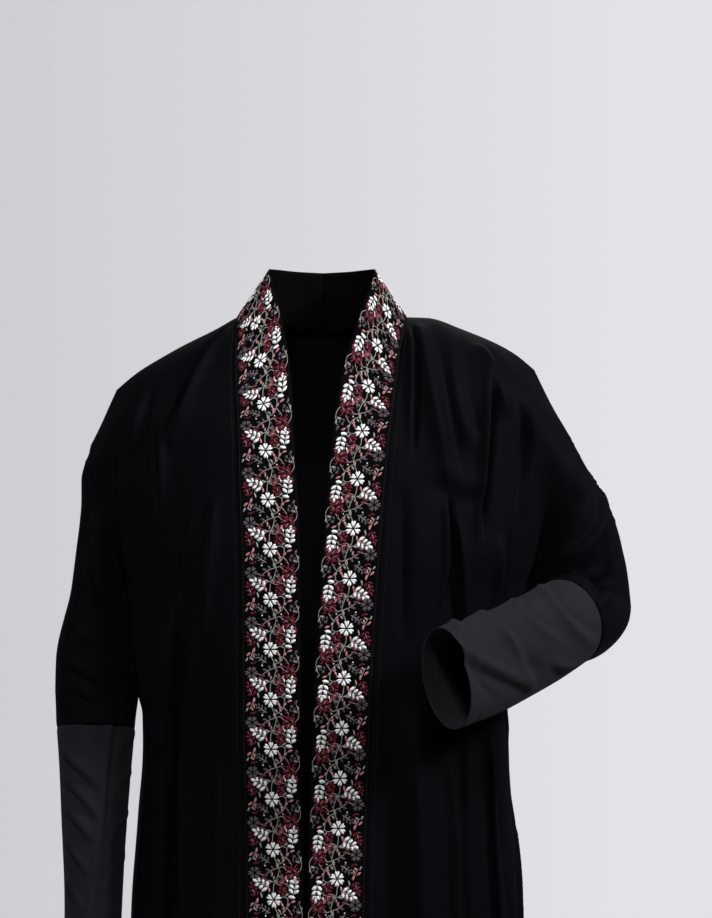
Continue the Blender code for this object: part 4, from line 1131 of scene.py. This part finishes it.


# Each thread: its colour on the ribs' crowns, then its darker colour between them, which is painted shade.
THREADS = {
    "white": thread("white_thread", (0.95, 0.95, 0.95), (0.80, 0.80, 0.82), 0.5, 0.1),
    "burgundy": thread("burgundy_thread", (0.165, 0.0075, 0.026), (0.075, 0.0036, 0.012), 0.55, 0.0),
    "pink": thread("pink_thread", (0.66, 0.27, 0.29), (0.42, 0.13, 0.15), 0.5, 0.08),
    "taupe": thread("taupe_thread", (0.135, 0.108, 0.122), (0.060, 0.047, 0.056), 0.55, 0.0),
    "sage": thread("sage_thread", (0.42, 0.40, 0.36), (0.22, 0.20, 0.18), 0.5, 0.08),
}
flower_run = {side: np.interp(drop, DROPS, borders[side]["run"][NECK_ROWS:])
              for side, drop in FLOWER_DROP.items()}
count = round((flower_run[RIGHT] + flower_run[LEFT]) / REPEAT)
repeat = (flower_run[RIGHT] + flower_run[LEFT]) / count
shifts = (-flower_run[RIGHT] + np.arange(-30, count + 31) * repeat) / MM
ON_BORDER = {RIGHT: [], LEFT: []}
for side, name in ((RIGHT, "right"), (LEFT, "left")):
    for colour, rows in LEAVES.items():
        shapes = leaf_shapes(rows)
        if colour in PETALS:
            shapes = np.concatenate([shapes, leaf_shapes(PETALS[colour], 2.0)])
        many = np.repeat(shapes[None], len(shifts), axis=0)
        many[..., 1] = shifts[:, None, None] - many[..., 1]
        parts = [embroidered(side, many.reshape(-1, *shapes.shape[1:]), leaf_faces())]
        if colour == "sage":
            for vine in VINES:
                stem = stem_shapes(along_vine(vine, 1.3), 0.42)
                many = np.repeat(stem[None], len(shifts), axis=0)
                many[..., 1] = shifts[:, None] - many[..., 1]
                parts.append(embroidered(side, many, stem_faces(len(stem) // 3)))
        piece = pods(f"{colour}_embroidery_{name}", parts, THREADS[colour])
        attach(piece, "root")
        ON_BORDER[side].append(piece)


# ================================================================ the sewing
# Fine machine stitches: a dotted line down the ribbon's seam edge, and rows of black thread beside
# the border's seam, above the hem and above the cuffs.
# Their second colours, too, are the painted shade between the ribs.
black_thread = thread("black_thread", (0.011, 0.011, 0.013), (0.005, 0.005, 0.006), 0.6, 0.05)
grey_thread = thread("grey_thread", (0.030, 0.034, 0.034), (0.016, 0.018, 0.018), 0.6, 0.05)
PICOT = dict(spacing=0.0027, length=0.0015, width=0.0006, height=0.0003, lift=0.0)
PICOT_SHARE = 0.045      # how far across the ribbon the dotted line runs
SEAM_STITCH = dict(spacing=0.0036, length=0.0026, width=0.0004, height=0.00025, lift=WALL)
CUFF_STITCH = dict(spacing=0.0034, length=0.0024, width=0.0004, height=0.00025, lift=WALL)
HEM_ROW = -3             # the row of a panel's grid that its hem is stitched along
EDGE_COLUMN = 3          # the column that is stitched beside the border's seam
EDGE_TOP = 6             # and the row where those stitches start
CUFF_ROW = -11           # the ring of a lower sleeve that its turned edge is stitched along


def stitches(path, normals, spacing, length, width, height, lift):
    """Stitches along a line of points: pods at even spacing, each along the line, on the cloth."""
    run = np.concatenate([[0], np.linalg.norm(np.diff(path, axis=0), axis=-1).cumsum()])
    at = np.arange(spacing, run[-1] - spacing, spacing)
    centre = np.stack([np.interp(at, run, path[:, k]) for k in range(3)], axis=-1)
    up = unit(np.stack([np.interp(at, run, normals[:, k]) for k in range(3)], axis=-1))
    tangent = np.gradient(path, axis=0)
    way = unit(np.stack([np.interp(at, run, tangent[:, k]) for k in range(3)], axis=-1))
    beside = np.cross(up, way)
    shape = leaf_shapes([(0, 0, 0, length / MM, width / MM)])[0]
    points = centre[:, None] + shape[None, :, :1] * MM * way[:, None]
    points = points + shape[None, :, 1:2] * MM * beside[:, None]
    points = points + up[:, None] * (shape[None, :, 2:3] / THREAD_HEIGHT * MM * height + lift)
    faces = (leaf_faces()[None] + np.arange(len(at))[:, None, None] * len(shape)).reshape(-1, 3)
    uvs = np.repeat(shape[None, :, 3:], len(at), axis=0).reshape(-1, 2)
    return points.reshape(-1, 3), faces, uvs


for side, name in ((RIGHT, "right"), (LEFT, "left")):
    border = borders[side]
    run = np.arange(0.004, border["run"][-1] - 0.002, 0.002)
    share = np.full(len(run), PICOT_SHARE)
    line = on_border(side, run, share, 0 * run)
    up = unit(line - on_border(side, run, share, 0 * run - 0.001))
    dots = pods(f"picot_stitches_{name}", [stitches(line, up, **PICOT)], grey_thread)
    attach(dots, "root")
    ON_BORDER[side].append(dots)
    strip = cloth(f"front_border_{name}_cloth", [(border["points"], side == RIGHT)], BORDER_WALL, ribbon)
    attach(strip, "root")
    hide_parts(f"front_border_{name}")

sewing = []
for side in (RIGHT, LEFT):
    for face, panels in ((FRONT, fronts), (BACK, back)):
        body = panels[side][0]
        outward = normals_of(body, side * face)
        sewing.append(stitches(body[HEM_ROW], outward[HEM_ROW], **SEAM_STITCH))
        if face == FRONT:
            edge = (slice(EDGE_TOP, None), EDGE_COLUMN)
            sewing.append(stitches(body[edge], outward[edge], **SEAM_STITCH))
    rings, facing = lower_sleeves[side]
    sewing.append(stitches(rings[CUFF_ROW], facing[CUFF_ROW], **CUFF_STITCH))
rows_of_stitches = pods("machine_stitches", sewing, black_thread)
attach(rows_of_stitches, "root")
